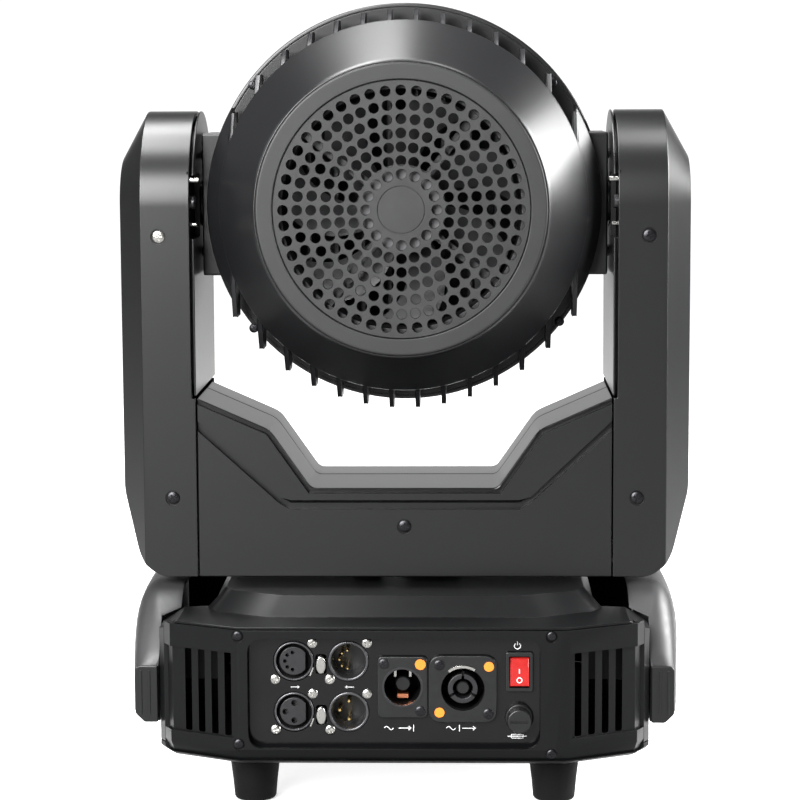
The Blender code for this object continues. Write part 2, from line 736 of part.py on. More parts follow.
def make_fan(head):
    frame = tube("Y", 0.0615, 0.066, -0.084, -0.062, LAMP_AXIS)
    struts = rod("Y", 0.018, -0.084, -0.081, LAMP_AXIS, 24)
    for turn in range(4):
        arm = box(0.0, 0.064, -0.0835, -0.0815, -0.0025, 0.0025)
        arm.transform(Matrix.Rotation(math.radians(45 + 90 * turn), 4, "Y"))
        arm.transform(Matrix.Translation((0.0, 0.0, TILT_HEIGHT)))
        struts = join(struts, arm)
    piece("fan_frame", join(frame, struts), "plastic", head)

    axis = empty("fan_axis", (0.0, -0.072, TILT_HEIGHT), head)
    rotor = rod("Y", 0.0185, -0.0795, -0.0645, LAMP_AXIS, 24)
    for turn in range(7):
        blade = skin([
            [(0.015, -0.078, -0.006), (0.015, -0.0765, -0.0065),
             (0.015, -0.066, 0.006), (0.015, -0.0675, 0.0065)],
            [(FAN_RADIUS, -0.075, -0.016), (FAN_RADIUS, -0.0735, -0.0165),
             (FAN_RADIUS, -0.068, 0.014), (FAN_RADIUS, -0.0695, 0.0145)],
        ])
        blade = keep(blade, rod("Y", FAN_RADIUS, -0.09, -0.06, (0.0, 0.0), 48))
        blade.transform(Matrix.Rotation(2 * math.pi * turn / 7, 4, "Y"))
        blade.transform(Matrix.Translation((0.0, 0.0, TILT_HEIGHT)))
        rotor = join(rotor, blade)
    piece("fan_rotor", rotor, "plastic", axis)


def lens_places():
    """Nineteen places on a triangular grid: one, six and twelve."""
    places = []
    for row in range(-2, 3):
        count = 5 - abs(row)
        for i in range(count):
            x = (i - (count - 1) / 2) * LENS_PITCH
            z = row * LENS_PITCH * math.sqrt(3) / 2
            places.append((x, TILT_HEIGHT + z))
    return places


def make_lamp(head):
    board = rod("Y", 0.070, -0.0097, -0.0081, LAMP_AXIS, 40)
    piece("led_board", board, "board", head)

    screw_place = (0.0, TILT_HEIGHT - SCREW_OFFSET)
    motor = rod("Y", 0.010, -0.0077, 0.012, screw_place, 24)
    motor = join(motor, rod("Y", 0.004, 0.011, 0.0135, screw_place, 12))
    piece("zoom_motor", motor, "steel", head)

    screw_axis = empty("zoom_screw_axis", (0.0, 0.0, screw_place[1]), head)
    piece("zoom_screw", rod("Y", 0.0025, 0.0138, 0.072, screw_place, 12), "silver", screw_axis)

    slide = empty("zoom_axis", (0.0, 0.030, TILT_HEIGHT), head)
    carriage = rod("Y", 0.080, 0.030, 0.033, LAMP_AXIS, 40)
    carriage = join(carriage, rod("Y", 0.0085, 0.0295, 0.038, screw_place, 16))
    carriage = cut(carriage, rod("Y", 0.0030, 0.02, 0.05, screw_place, 12))
    for place in lens_places():
        collimator = cone("Y", [(0.010, 0.0325), (LENS_RADIUS, 0.046), (0.010, 0.050)], place, 8)
        carriage = join(carriage, collimator)
    piece("zoom_carriage", carriage, "lens", slide)

    inner = HOUSING_RADIUS - 0.003
    housing = turned("Y", [(inner, RING_SPAN[1] + GAP), (HOUSING_RADIUS, RING_SPAN[1] + GAP),
                           (HOUSING_RADIUS, 0.076), (0.0975, 0.078), (0.0975, HEAD_FRONT - 0.002),
                           (0.095, HEAD_FRONT), (0.087, HEAD_FRONT), (0.083, 0.078), (inner, 0.078)],
                     LAMP_AXIS, 48)
    piece("front_housing", housing, "casing", head)

    window = rod("Y", inner - 0.0005, 0.0745, 0.0772, LAMP_AXIS, 48)
    piece("front_window", window, "glass", head)


# ---------------------------------------------------------------- assembly

def build():
    for item in list(bpy.data.objects):
        bpy.data.objects.remove(item)

    base = empty("base", (0.0, 0.0, 0.0))
    for make in (make_tray, make_cover, make_bezel, make_handles, make_feet, make_panel,
                 make_connectors, make_switch, make_latches, make_fuse, make_controls, make_base_inside):
        make(base)

    yoke = empty("pan_axis", (0.0, 0.0, YOKE_BOTTOM), base)
    head = empty("tilt_axis", (0.0, 0.0, TILT_HEIGHT), yoke)
    for make in (make_crossbar, make_arms, make_yoke_frame, make_pan_shaft):
        make(yoke)
    make_tilt_drive(yoke, head)

    for make in (make_ring, make_trunnions, make_shroud, make_grille, make_heat_sink, make_fan, make_lamp):
        make(head)


build()
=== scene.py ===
"""Looks for the moving head light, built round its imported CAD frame.

Metres, +Z up. -Y is the back, with the connector panel and the fan grille; +Y is the front.
"""

import json
import math

import bmesh
import bpy
from mathutils import Matrix, Vector

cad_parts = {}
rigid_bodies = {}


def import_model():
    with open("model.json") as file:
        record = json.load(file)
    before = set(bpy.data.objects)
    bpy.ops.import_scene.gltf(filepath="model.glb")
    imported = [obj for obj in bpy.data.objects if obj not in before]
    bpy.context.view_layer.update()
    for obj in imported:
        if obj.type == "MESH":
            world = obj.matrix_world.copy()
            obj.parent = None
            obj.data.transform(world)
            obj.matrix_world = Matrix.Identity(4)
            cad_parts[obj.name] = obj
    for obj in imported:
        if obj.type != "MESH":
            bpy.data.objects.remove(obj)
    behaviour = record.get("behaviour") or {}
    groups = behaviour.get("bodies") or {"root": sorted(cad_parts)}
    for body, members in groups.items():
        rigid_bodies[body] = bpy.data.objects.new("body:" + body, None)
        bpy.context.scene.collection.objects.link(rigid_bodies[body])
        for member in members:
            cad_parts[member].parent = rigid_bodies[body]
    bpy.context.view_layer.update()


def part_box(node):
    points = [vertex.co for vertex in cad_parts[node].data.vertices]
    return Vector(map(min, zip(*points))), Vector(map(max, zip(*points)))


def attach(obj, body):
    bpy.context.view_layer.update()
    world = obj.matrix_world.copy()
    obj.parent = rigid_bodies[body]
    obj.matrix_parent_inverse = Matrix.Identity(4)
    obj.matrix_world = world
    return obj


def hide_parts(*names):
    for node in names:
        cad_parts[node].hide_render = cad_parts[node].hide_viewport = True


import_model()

# Places read from the frame
RING_LOW, RING_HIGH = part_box("head_ring")
TILT = (RING_LOW.z + RING_HIGH.z) / 2
LAMP = (0.0, TILT)
COVER_LOW, COVER_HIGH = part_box("base_top_cover")
FACE = COVER_HIGH.y
ARM_LOW, ARM_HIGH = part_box("arm_cover_right")
YOKE_BOTTOM = ARM_LOW.z
HALF_DEPTH = ARM_HIGH.y
PANEL_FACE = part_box("connector_panel")[0].y

WALL = 0.0025
GAP = 0.0003
EAVE = 0.098
TRAY_BOTTOM = 0.025
THROUGH_PANEL = (-0.11, -0.10)
WELL_FLOOR = -0.0812

# Places across Y, as (x, z)
XLRS = {"dmx_out_5_pin": (-0.0564, 0.0788), "dmx_out_3_pin": (-0.0564, 0.0520),
        "dmx_in_5_pin": (-0.0281, 0.0788), "dmx_in_3_pin": (-0.0281, 0.0520)}
LATCHES = {"upper": (-0.0423, 0.0772), "lower": (-0.0423, 0.0504)}
INLET = (-0.0001, 0.0655)
OUTLET = (0.0311, 0.0645)
SWITCH = (0.0603, 0.0735)
FUSE = (0.0602, 0.0493)
BUTTONS = {name: (0.024 + 0.0125 * (i % 2), 0.072 - 0.0145 * (i // 2))
           for i, name in enumerate(("menu", "up", "enter", "down"))}
BEZEL_SCREWS = [(-0.0848, 0.0932), (-0.0848, 0.0362), (0.0768, 0.0932), (0.0768, 0.0312)]
YOKE_SCREWS = [(0.1298, 0.2954), (0.1241, 0.1554), (-0.1298, 0.2954), (-0.1241, 0.1554), (0.0, 0.1399)]
LEAD_SCREW = (0.0, TILT - 0.0825)

# Rings of holes in the grille, as (radius, count)
HOLE_RINGS = ((0.0182, 16), (0.0251, 24), (0.0321, 32), (0.0391, 36), (0.0463, 40), (0.0535, 48), (0.0608, 48))
ROTOR_BACK, ROTOR_FRONT = -0.0785, -0.0655
LENS_PITCH = 0.031
FIN_PITCH = 0.014


# ---------------------------------------------------------------- outlines

def polar(centre, radius, turn):
    """The point of a circle at an angle in radians."""
    return (centre[0] + radius * math.cos(turn), centre[1] + radius * math.sin(turn))


def circle(radius, sides=48, centre=(0.0, 0.0)):
    return [polar(centre, radius, 2 * math.pi / sides * (i + 0.5)) for i in range(sides)]


def arc(centre, radius, start, end, steps):
    """Points on an arc, with its angles in degrees."""
    return [polar(centre, radius, math.radians(start + (end - start) * i / steps)) for i in range(steps + 1)]


def inset(outline, distance):
    """Move every side of a closed counter-clockwise outline inwards."""
    moved = []
    for i, point in enumerate(outline):
        before, here, after = Vector(outline[i - 1]), Vector(point), Vector(outline[(i + 1) % len(outline)])
        one, two = (here - before).normalized(), (after - here).normalized()
        normal = Vector((-one.y, one.x))
        middle = (normal + Vector((-two.y, two.x))).normalized()
        moved.append(tuple(here + middle * distance / middle.dot(normal)))
    return moved


def rounded(outline, radius, steps=4, closed=True):
    """Round the corners of an outline; a list gives each corner its own radius."""
    count = len(outline)
    radii = radius if isinstance(radius, (list, tuple)) else [radius] * count
    made = []
    for i, point in enumerate(outline):
        if radii[i] == 0 or (not closed and i in (0, count - 1)):
            made.append(tuple(point))
            continue
        before, here, after = Vector(outline[i - 1]), Vector(point), Vector(outline[(i + 1) % count])
        start = here + (before - here).normalized() * min(radii[i], (before - here).length * 0.49)
        end = here + (after - here).normalized() * min(radii[i], (after - here).length * 0.49)
        for step in range(steps + 1):
            t = step / steps
            made.append(tuple(start * (1 - t) ** 2 + here * 2 * t * (1 - t) + end * t * t))
    return made


def rectangle(centre, width, height, radius=0.0, steps=4):
    x, z = centre
    w, h = width / 2, height / 2
    corners = [(x - w, z - h), (x + w, z - h), (x + w, z + h), (x - w, z + h)]
    return rounded(corners, radius, steps) if radius else corners


def face_of(node, radius, steps=4):
    """A node's outline across Y, its corners rounded."""
    low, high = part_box(node)
    centre = ((low.x + high.x) / 2, (low.z + high.z) / 2)
    return rectangle(centre, high.x - low.x, high.z - low.z, radius, steps)


# ---------------------------------------------------------------- meshes

def spread(axis, a, b, c):
    """Place a plane point (a, b) at c along an axis."""
    return {"X": (c, a, b), "Y": (a, c, b), "Z": (a, b, c)}[axis]


def mesh_from(bm):
    mesh = bpy.data.meshes.new("shape")
    bm.to_mesh(mesh)
    bm.free()
    return mesh


def finish(bm):
    bmesh.ops.recalc_face_normals(bm, faces=bm.faces)
    return mesh_from(bm)


def skin(rings, loop=False):
    """Close a solid over rings of points; a loop joins the last ring to the first."""
    bm = bmesh.new()
    loops = [[bm.verts.new(point) for point in ring] for ring in rings]
    count = len(loops[0])
    pairs = list(zip(loops, loops[1:]))
    if loop:
        pairs.append((loops[-1], loops[0]))
    for one, two in pairs:
        for i in range(count):
            j = (i + 1) % count
            bm.faces.new((one[i], one[j], two[j], two[i]))
    if not loop:
        bm.faces.new(loops[0])
        bm.faces.new(loops[-1])
    return finish(bm)


def at(axis, outline, along):
    return [spread(axis, a, b, along) for a, b in outline]


def prism(axis, outline, low, high):
    return skin([at(axis, outline, low), at(axis, outline, high)])


def slab(axis, outline, low, high, edge=0.0006, steps=3):
    """A prism with rounded rims at both ends."""
    rings = []
    for i in range(steps + 1):
        turn = math.pi / 2 * i / steps
        rings.append(at(axis, inset(outline, edge * (1 - math.sin(turn))), low + edge * (1 - math.cos(turn))))
    for i in range(steps + 1):
        turn = math.pi / 2 * (1 - i / steps)
        rings.append(at(axis, inset(outline, edge * (1 - math.sin(turn))), high - edge * (1 - math.cos(turn))))
    return skin(rings)


def box(x0, x1, y0, y1, z0, z1):
    return prism("Z", [(x0, y0), (x1, y0), (x1, y1), (x0, y1)], z0, z1)


def turned(axis, profile, centre=(0.0, 0.0), sides=64, loop=False):
    """Turn a profile of (radius, distance along the axis) about an axis."""
    rings = []
    for radius, along in profile:
        rings.append(at(axis, circle(radius, sides, centre), along))
    return skin(rings, loop)


def ring_solid(axis, profile, centre, sides=96, radius=0.0006):
    return turned(axis, rounded(profile, radius, 3), centre, sides, True)


def drill(place, radius, sides=24, span=THROUGH_PANEL):
    """A round cutter along Y."""
    return prism("Y", circle(radius, sides, place), *span)


def merged(*meshes):
    """Several solids as one mesh, not united."""
    bm = bmesh.new()
    for mesh in meshes:
        bm.from_mesh(mesh)
    return mesh_from(bm)


def moved(mesh, matrix):
    copy = mesh.copy()
    copy.transform(matrix)
    if matrix.determinant() < 0:
        copy.flip_normals()
    return copy


def mirrored(mesh, axis):
    scale = Vector((-1 if axis == "X" else 1, -1 if axis == "Y" else 1, 1))
    return moved(mesh, Matrix.Diagonal(scale).to_4x4())


def both(mesh):
    """A mesh and its mirror image on the other side."""
    return merged(mesh, mirrored(mesh, "X"))


def twice(mesh):
    """A mesh and its mirror image in front."""
    return merged(mesh, mirrored(mesh, "Y"))


def sided(mesh, name):
    """A mesh made for the right, mirrored when it is for the left."""
    return mirrored(mesh, "X") if name == "left" else mesh


def spun(mesh, degrees, centre=(0.0, 0.0)):
    """A mesh turned about the Y axis, then moved to a centre (x, z)."""
    return moved(moved(mesh, Matrix.Rotation(math.radians(degrees), 4, "Y")),
                 Matrix.Translation((centre[0], 0.0, centre[1])))


def linked(item):
    bpy.context.scene.collection.objects.link(item)
    return item


def evaluated(mesh, *settings):
    """A mesh with modifiers applied, each given as (type, {setting: value})."""
    item = linked(bpy.data.objects.new("work", mesh))
    for kind, values in settings:
        modifier = item.modifiers.new(kind.lower(), kind)
        for key, value in values.items():
            setattr(modifier, key, value)
    graph = bpy.context.evaluated_depsgraph_get()
    made = bpy.data.meshes.new_from_object(item.evaluated_get(graph))
    bpy.data.objects.remove(item)
    return made


def combine(body, tool, operation):
    cutter = linked(bpy.data.objects.new("cutter", tool))
    made = evaluated(body, ("BOOLEAN", {"operation": operation, "object": cutter}))
    bpy.data.objects.remove(cutter)
    return made


def cut(body, *tools):
    for tool in tools:
        body = combine(body, tool, "DIFFERENCE")
    return body


def keep(body, tool):
    return combine(body, tool, "INTERSECT")


def join(body, *tools):
    for tool in tools:
        body = combine(body, tool, "UNION")
    return body


def bevelled(mesh, width, segments=3):
    """Round a mesh's sharp edges, once its flat faces are whole again."""
    bm = bmesh.new()
    bm.from_mesh(mesh)
    bmesh.ops.remove_doubles(bm, verts=bm.verts, dist=0.00002)
    bmesh.ops.dissolve_limit(bm, angle_limit=math.radians(0.4), verts=bm.verts, edges=bm.edges)
    return evaluated(mesh_from(bm), ("BEVEL", {
        "width": width, "segments": segments, "limit_method": "ANGLE", "angle_limit": math.radians(28),
        "use_clamp_overlap": True, "miter_outer": "MITER_ARC"}))


# ---------------------------------------------------------------- materials

def set_inputs(tree, node, inputs):
    """Set a node's inputs to values, or link them where a socket is given."""
    for key, value in inputs.items():
        if isinstance(value, bpy.types.NodeSocket):
            tree.links.new(value, node.inputs[key])
        else:
            node.inputs[key].default_value = value


def add_node(tree, kind, inputs, output, **settings):
    """Add a shader node and give one of its outputs."""
    node = tree.nodes.new("ShaderNode" + kind)
    for key, value in settings.items():
        setattr(node, key, value)
    set_inputs(tree, node, inputs)
    return node.outputs[output]


def shader_of(name):
    made = bpy.data.materials.new(name)
    made.use_nodes = True
    return made, made.node_tree, made.node_tree.nodes["Principled BSDF"]


def noise(tree, scale, detail=3.0, rough=0.5):
    """A noise texture over the piece's own coordinates, in metres."""
    place = add_node(tree, "TexCoord", {}, "Object")
    inputs = {"Vector": place, "Scale": scale, "Detail": detail, "Roughness": rough}
    return add_node(tree, "TexNoise", inputs, "Fac")


def ramp(tree, source, low, high, start=0.3, end=0.7):
    """Map a texture to the span from low to high, each a number or a colour."""
    if isinstance(low, float):
        return add_node(tree, "MapRange", {"Value": source, "From Min": start, "From Max": end, "To Min": low,
                                           "To Max": high}, "Result")
    node = tree.nodes.new("ShaderNodeValToRGB")
    for element, place, colour in zip(node.color_ramp.elements, (start, end), (low, high)):
        element.position = place
        element.color = (*colour, 1.0)
    tree.links.new(source, node.inputs["Fac"])
    return node.outputs["Color"]


def bump(tree, source, strength, depth, under=None):
    """A bump on top of another one, where one is given."""
    inputs = {"Strength": strength, "Distance": depth, "Height": source}
    return add_node(tree, "Bump", inputs | ({"Normal": under} if under else {}), "Normal")


def finish_of(name, colour, roughness, grain=2600.0, relief=0.25, depth=0.00006, metallic=0.0, uneven=0.06,
              vary=0.14, specular=0.5, coat=0.0):
    """A surface with fine grain, uneven gloss and slight changes of tone."""
    made, tree, shader = shader_of(name)
    dark = tuple(c * (1 - vary) for c in colour)
    pale = tuple(min(1.0, c * (1 + vary)) for c in colour)
    gloss = noise(tree, 340.0, 5.0, 0.6)
    inputs = {
        "Base Color": ramp(tree, noise(tree, 60.0, 4.0), dark, pale),
        "Roughness": ramp(tree, gloss, max(0.02, roughness - uneven), roughness + uneven),
        "Metallic": metallic, "Specular IOR Level": specular, "Coat Weight": coat, "Coat Roughness": 0.1,
    }
    if relief:
        wavy = bump(tree, noise(tree, 30.0, 1.0), 0.05, 0.0003)
        inputs["Normal"] = bump(tree, noise(tree, grain, 2.0), relief, depth, wavy)
    set_inputs(tree, shader, inputs)
    return made


def brushed(name, colour, roughness):
    """Metal with fine drawn lines."""
    made, tree, shader = shader_of(name)
    place = add_node(tree, "TexCoord", {}, "Object")
    drawn = add_node(tree, "Mapping", {"Vector": place, "Scale": (1.0, 1.0, 40.0)}, "Vector")
    lines = add_node(tree, "TexNoise", {"Vector": drawn, "Scale": 220.0, "Detail": 4.0}, "Fac")
    set_inputs(tree, shader, {
        "Base Color": ramp(tree, lines, tuple(c * 0.82 for c in colour), colour),
        "Roughness": ramp(tree, lines, roughness - 0.08, roughness + 0.10),
        "Normal": bump(tree, lines, 0.12, 0.00005), "Metallic": 1.0})
    return made


def glass(name, colour, roughness, index):
    """Clear moulded plastic or glass, with faint ripples."""
    made, tree, shader = shader_of(name)
    set_inputs(tree, shader, {
        "Base Color": ramp(tree, noise(tree, 30.0), tuple(c * 0.97 for c in colour), colour),
        "Roughness": ramp(tree, noise(tree, 300.0), roughness, roughness + 0.03),
        "Normal": bump(tree, noise(tree, 25.0, 1.0), 0.03, 0.0003),
        "Transmission Weight": 1.0, "IOR": index})
    return made


LOOKS = {
    "casing": finish_of("casing_plastic", (0.0062, 0.0064, 0.0067), 0.31, relief=0.0, uneven=0.006, vary=0.05),
    "base": finish_of("base_plastic", (0.0040, 0.0042, 0.0045), 0.32, relief=0.0, uneven=0.006, vary=0.05,
                      specular=0.24),
    "under": finish_of("tray_plastic", (0.0050, 0.0052, 0.0054), 0.42, relief=0.05, specular=0.10),
    "wing": finish_of("wing_plastic", (0.032, 0.032, 0.033), 0.44, relief=0.10),
    "shroud": finish_of("shroud_paint", (0.0075, 0.0077, 0.0084), 0.32, relief=0.0, uneven=0.004, vary=0.05),
    "satin": finish_of("satin_paint", (0.0120, 0.0122, 0.0126), 0.47, relief=0.10, uneven=0.02),
    "grille": finish_of("grille_powder_coat", (0.0140, 0.0142, 0.0146), 0.47, grain=1500.0, relief=0.30,
                        depth=0.00010, vary=0.30),
    "fin": finish_of("black_anodised", (0.022, 0.022, 0.024), 0.36, metallic=0.35, relief=0.12),
    "rubber": finish_of("foot_rubber", (0.0035, 0.0035, 0.0036), 0.68, grain=1800.0, relief=0.3, specular=0.12),
    "panel": finish_of("panel_gloss", (0.0045, 0.0045, 0.005), 0.11, relief=0.02, uneven=0.02, specular=0.40),
    "connector": finish_of("connector_plastic", (0.0065, 0.0068, 0.0070), 0.34, relief=0.06),
    "insert": finish_of("insert_plastic", (0.012, 0.012, 0.0135), 0.40, relief=0.06),
    "hole": finish_of("socket_dark", (0.002, 0.002, 0.002), 0.60, relief=0.05, specular=0.10),
    "rim": finish_of("shell_metal", (0.10, 0.10, 0.105), 0.30, metallic=0.8, relief=0.08),
    "red": finish_of("rocker_red", (0.42, 0.010, 0.008), 0.20, relief=0.04, uneven=0.03, coat=0.6),
    "orange": finish_of("orange_mark", (0.90, 0.24, 0.02), 0.45, relief=0.05),
    "white": finish_of("white_print", (0.80, 0.80, 0.80), 0.50, relief=0.05, vary=0.05),
    "silver": finish_of("bright_nickel", (0.62, 0.61, 0.58), 0.24, metallic=1.0, relief=0.05, vary=0.05),
    "screw_black": finish_of("blackened_screw", (0.035, 0.035, 0.038), 0.30, metallic=0.9, relief=0.08),
    "steel": brushed("zinc_steel", (0.60, 0.60, 0.61), 0.30),
    "aluminium": brushed("cast_aluminium", (0.66, 0.67, 0.68), 0.34),
    "copper": finish_of("copper_contact", (0.80, 0.30, 0.16), 0.28, metallic=1.0, relief=0.05, vary=0.08),
    "gold": finish_of("gold_contact", (0.85, 0.62, 0.26), 0.24, metallic=1.0, relief=0.05, vary=0.06),
    "fan": finish_of("fan_plastic", (0.030, 0.030, 0.032), 0.38, relief=0.12),
    "hub": finish_of("fan_label", (0.13, 0.13, 0.135), 0.42, relief=0.10),
    "belt": finish_of("belt_rubber", (0.016, 0.016, 0.017), 0.62, grain=900.0, relief=0.5),
    "board": finish_of("solder_mask", (0.72, 0.74, 0.74), 0.36, relief=0.10, vary=0.06),
    "led": finish_of("led_phosphor", (0.85, 0.62, 0.10), 0.40, relief=0.06),
    "screen": finish_of("screen_glass", (0.003, 0.005, 0.009), 0.07, relief=0.01, uneven=0.02, coat=0.5),
    "lens": glass("moulded_lens", (0.96, 0.97, 0.98), 0.03, 1.49),
    "glass": glass("front_glass", (0.97, 0.98, 0.98), 0.01, 1.45),
}


# ---------------------------------------------------------------- pieces

def piece(name, mesh, look, body, replaces=(), sharp=32):
    """Name a mesh made in place, smooth its round stretches and let it ride on a body."""
    mesh.name = name
    mesh.materials.clear()
    mesh.materials.append(LOOKS[look])
    mesh.shade_smooth()
    mesh.set_sharp_from_angle(angle=math.radians(sharp))
    made = linked(bpy.data.objects.new(name, mesh))
    weighted = made.modifiers.new("even shading", "WEIGHTED_NORMAL")
    weighted.keep_sharp = True
    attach(made, body)
    if replaces:
        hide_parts(*replaces)
    return made


def screw_mesh(radius, depth=0.0012):
    """A pan-head screw with a cross recess, its head towards -Y, seated at the origin."""
    crown = [(radius, 0.0), (radius, -depth * 0.45)]
    crown += [(radius * math.cos(t), -depth * 0.45 - depth * 0.55 * math.sin(t))
              for t in [math.radians(a) for a in (25, 50, 72)]]
    head = turned("Y", [(radius * 0.5, 0.001)] + crown, sides=28)
    bar = box(-radius * 0.62, radius * 0.62, -depth * 1.2, -depth * 0.25, -radius * 0.13, radius * 0.13)
    return cut(head, *(spun(bar, turn) for turn in (45, 135)))


def screws(name, places, radius, look, body, turn=0.0, depth=0.0012):
    """Screw heads at points (x, y, z), facing the back, or the front where y is positive."""
    head = screw_mesh(radius, depth)
    heads = []
    for i, (x, y, z) in enumerate(places):
        facing = Matrix.Rotation(math.pi, 4, "Z") if y > 0 else Matrix.Identity(4)
        spin = Matrix.Rotation(math.radians(turn + 37 * i), 4, "Y")
        heads.append(moved(head, Matrix.Translation((x, y, z)) @ facing @ spin))
    return piece(name, merged(*heads), look, body, sharp=40)


def strokes(name, lines, y, width, look, body, origin=(0.0, 0.0), lean=0.0):
    """Thin printed lines on a face across Y, each a list of (x, z) points from an origin."""
    curve = bpy.data.curves.new(name, "CURVE")
    curve.dimensions = "3D"
    curve.bevel_depth = width / 2
    curve.bevel_resolution = 1
    curve.use_fill_caps = True
    for line in lines:
        spline = curve.splines.new("POLY")
        spline.points.add(len(line) - 1)
        for point, (x, z) in zip(spline.points, line):
            point.co = (x, z, 0.0, 1.0)
    work = linked(bpy.data.objects.new("work", curve))
    mesh = bpy.data.meshes.new_from_object(work.evaluated_get(bpy.context.evaluated_depsgraph_get()))
    bpy.data.objects.remove(work)
    flat = Matrix.Diagonal((1.0, 1.0, 0.25, 1.0))
    upright = Matrix.Rotation(math.radians(90) + lean, 4, "X")
    place = Matrix.Translation((origin[0], y, origin[1]))
    return piece(name, moved(mesh, place @ upright @ flat), look, body)


# ---------------------------------------------------------------- base

def casing_plan(distance=0.0):
    """The casing's outline from above, with chamfered corners."""
    back = [(0.085, -FACE), (0.122, -0.0925), (0.129, -0.080)]
    right = back + [(x, -y) for x, y in reversed(back)]
    return inset(right + [(-x, -y) for x, y in right], distance)


def stacked(levels):
    """The casing's plan at each (inset, height), as one solid."""
    return skin([at("Z", casing_plan(distance), height) for distance, height in levels])


def behind(low, high, reach):
    """A block that takes in everything behind a place along Y, between two heights."""
    return box(-0.15, 0.15, -0.13, reach, low, high)


def make_tray():
    low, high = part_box("base_tray")
    floor = TRAY_BOTTOM + WALL
    tray = stacked([(0.006, TRAY_BOTTOM), (0.0035, TRAY_BOTTOM + 0.0008), (0.0012, TRAY_BOTTOM + 0.0022),
                    (0.0, TRAY_BOTTOM + 0.0036), (0.0, high.z), (WALL, high.z), (WALL, floor + 0.002),
                    (0.009, floor)])
    tray = cut(tray, behind(floor + GAP, EAVE, -0.0854))
    vents = []
    for side in (1, -1):
        for i in range(9):
            outline = rectangle((side * (0.012 + 0.0075 * i), 0.052), 0.0032, 0.030, 0.0015, 3)
            vents.append(prism("Z", outline, 0.02, 0.03))
    tray = cut(tray, merged(*vents))
    piece("base_tray_shell", bevelled(tray, 0.0004, 2), "under", "base", ["base_tray"])
    seat = (0.060, 0.0)
    seats = both(slab("Z", rectangle(seat, 0.032, 0.048, 0.004), low.z, TRAY_BOTTOM - 0.0002, 0.0003))
    piece("bracket_seats", seats, "casing", "base")
    under, over = low.z + 0.0001, low.z + 0.0007
    bush = [(0.0042, under), (0.0066, under), (0.0066, over), (0.0042, over)]
    bushes = moved(both(ring_solid("Z", bush, seat, 40, 0.0002)), Matrix.Translation((0.0, 0.0, -0.0002)))
    piece("bracket_bushes", bushes, "steel", "base")


def casing_solid(shrink, bottom, growth):
    """The top cover's outer shape, or its inner one with a shrink, notched for both grips."""
    top = COVER_HIGH.z

    def drawn_in(distance, height):
        scale = 1 - distance / FACE
        return [(x * scale, y * scale, height) for x, y in casing_plan(shrink)]

    solid = skin([at("Z", casing_plan(shrink), bottom), at("Z", casing_plan(shrink), EAVE - shrink),
                  drawn_in(0.021, EAVE + 0.0008 - shrink), drawn_in(0.029, top - shrink)])
    gable = [(-0.16, 0.0), (0.16, 0.0), (0.16, 0.072), (0.0995, top + GAP),
             (-0.0995, top + GAP), (-0.16, 0.072)]
    solid = keep(solid, prism("Y", inset(gable, shrink), -0.12, 0.12))
    for side in (1, -1):
        near, far = sorted((side * (0.1 - growth), side * 0.15))
        solid = cut(solid, box(near, far, -0.060 - growth, 0.060 + growth, 0.062 - growth, 0.13))
    return solid


def make_cover():
    outer = casing_solid(0.0, COVER_LOW.z, 0.0)
    inner = casing_solid(WALL, COVER_LOW.z - 0.005, WALL)
    cover = cut(outer, inner, behind(0.02, 0.0968, -0.0854))
    cover = cut(cover, turned("Z", [(0.0215, 0.09), (0.0215, 0.12)]))
    cover = cut(cover, merged(*(drill(place, 0.0046, 24, (0.10, 0.12)) for place in BUTTONS.values())))
    piece("base_cover", bevelled(cover, 0.0011), "base", "base", ["base_top_cover"])


def make_bezel():
    low, high = (corner.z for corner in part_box("rear_bezel"))
    solid = stacked([(0.0022, low), (0.0, 0.0335), (0.0, high - 0.0004), (0.0004, high)])
    solid = cut(solid, prism("Z", casing_plan(0.003), 0.0, 0.12))
    solid = keep(solid, behind(0.0, 0.12, -0.0857))
    opening = rounded([(-0.080, 0.034), (0.071, 0.034), (0.071, 0.092), (-0.080, 0.092)], 0.0085, 6)
    solid = cut(solid, prism("Y", opening, -0.12, -0.10))
    steps, slots = [], []
    for side in (1, -1):
        near, far = sorted((side * 0.0874, side * 0.140))
        step = box(near, far, -0.13, -0.07, 0.0395, 0.0842)
        steps.append(cut(step, prism("Z", casing_plan(0.0016), 0.0, 0.12)))
        for slot in range(4):
            outline = rectangle((side * (0.0905 + 0.0072 * slot), 0.0619), 0.0036, 0.0440, 0.0009, 2)
            slots.append(prism("Y", outline, -0.12, -0.080))
    solid = cut(solid, merged(*steps), merged(*slots))
    solid = cut(solid, merged(*(drill(place, 0.0032, 24, (-0.12, -0.1092)) for place in BEZEL_SCREWS)))
    piece("rear_bezel_shell", bevelled(solid, 0.0006, 2), "base", "base", ["rear_bezel"])
    places = [(x, -0.1093, z) for x, z in BEZEL_SCREWS]
    screws("bezel_screws", places, 0.0026, "screw_black", "base", turn=20, depth=0.0010)


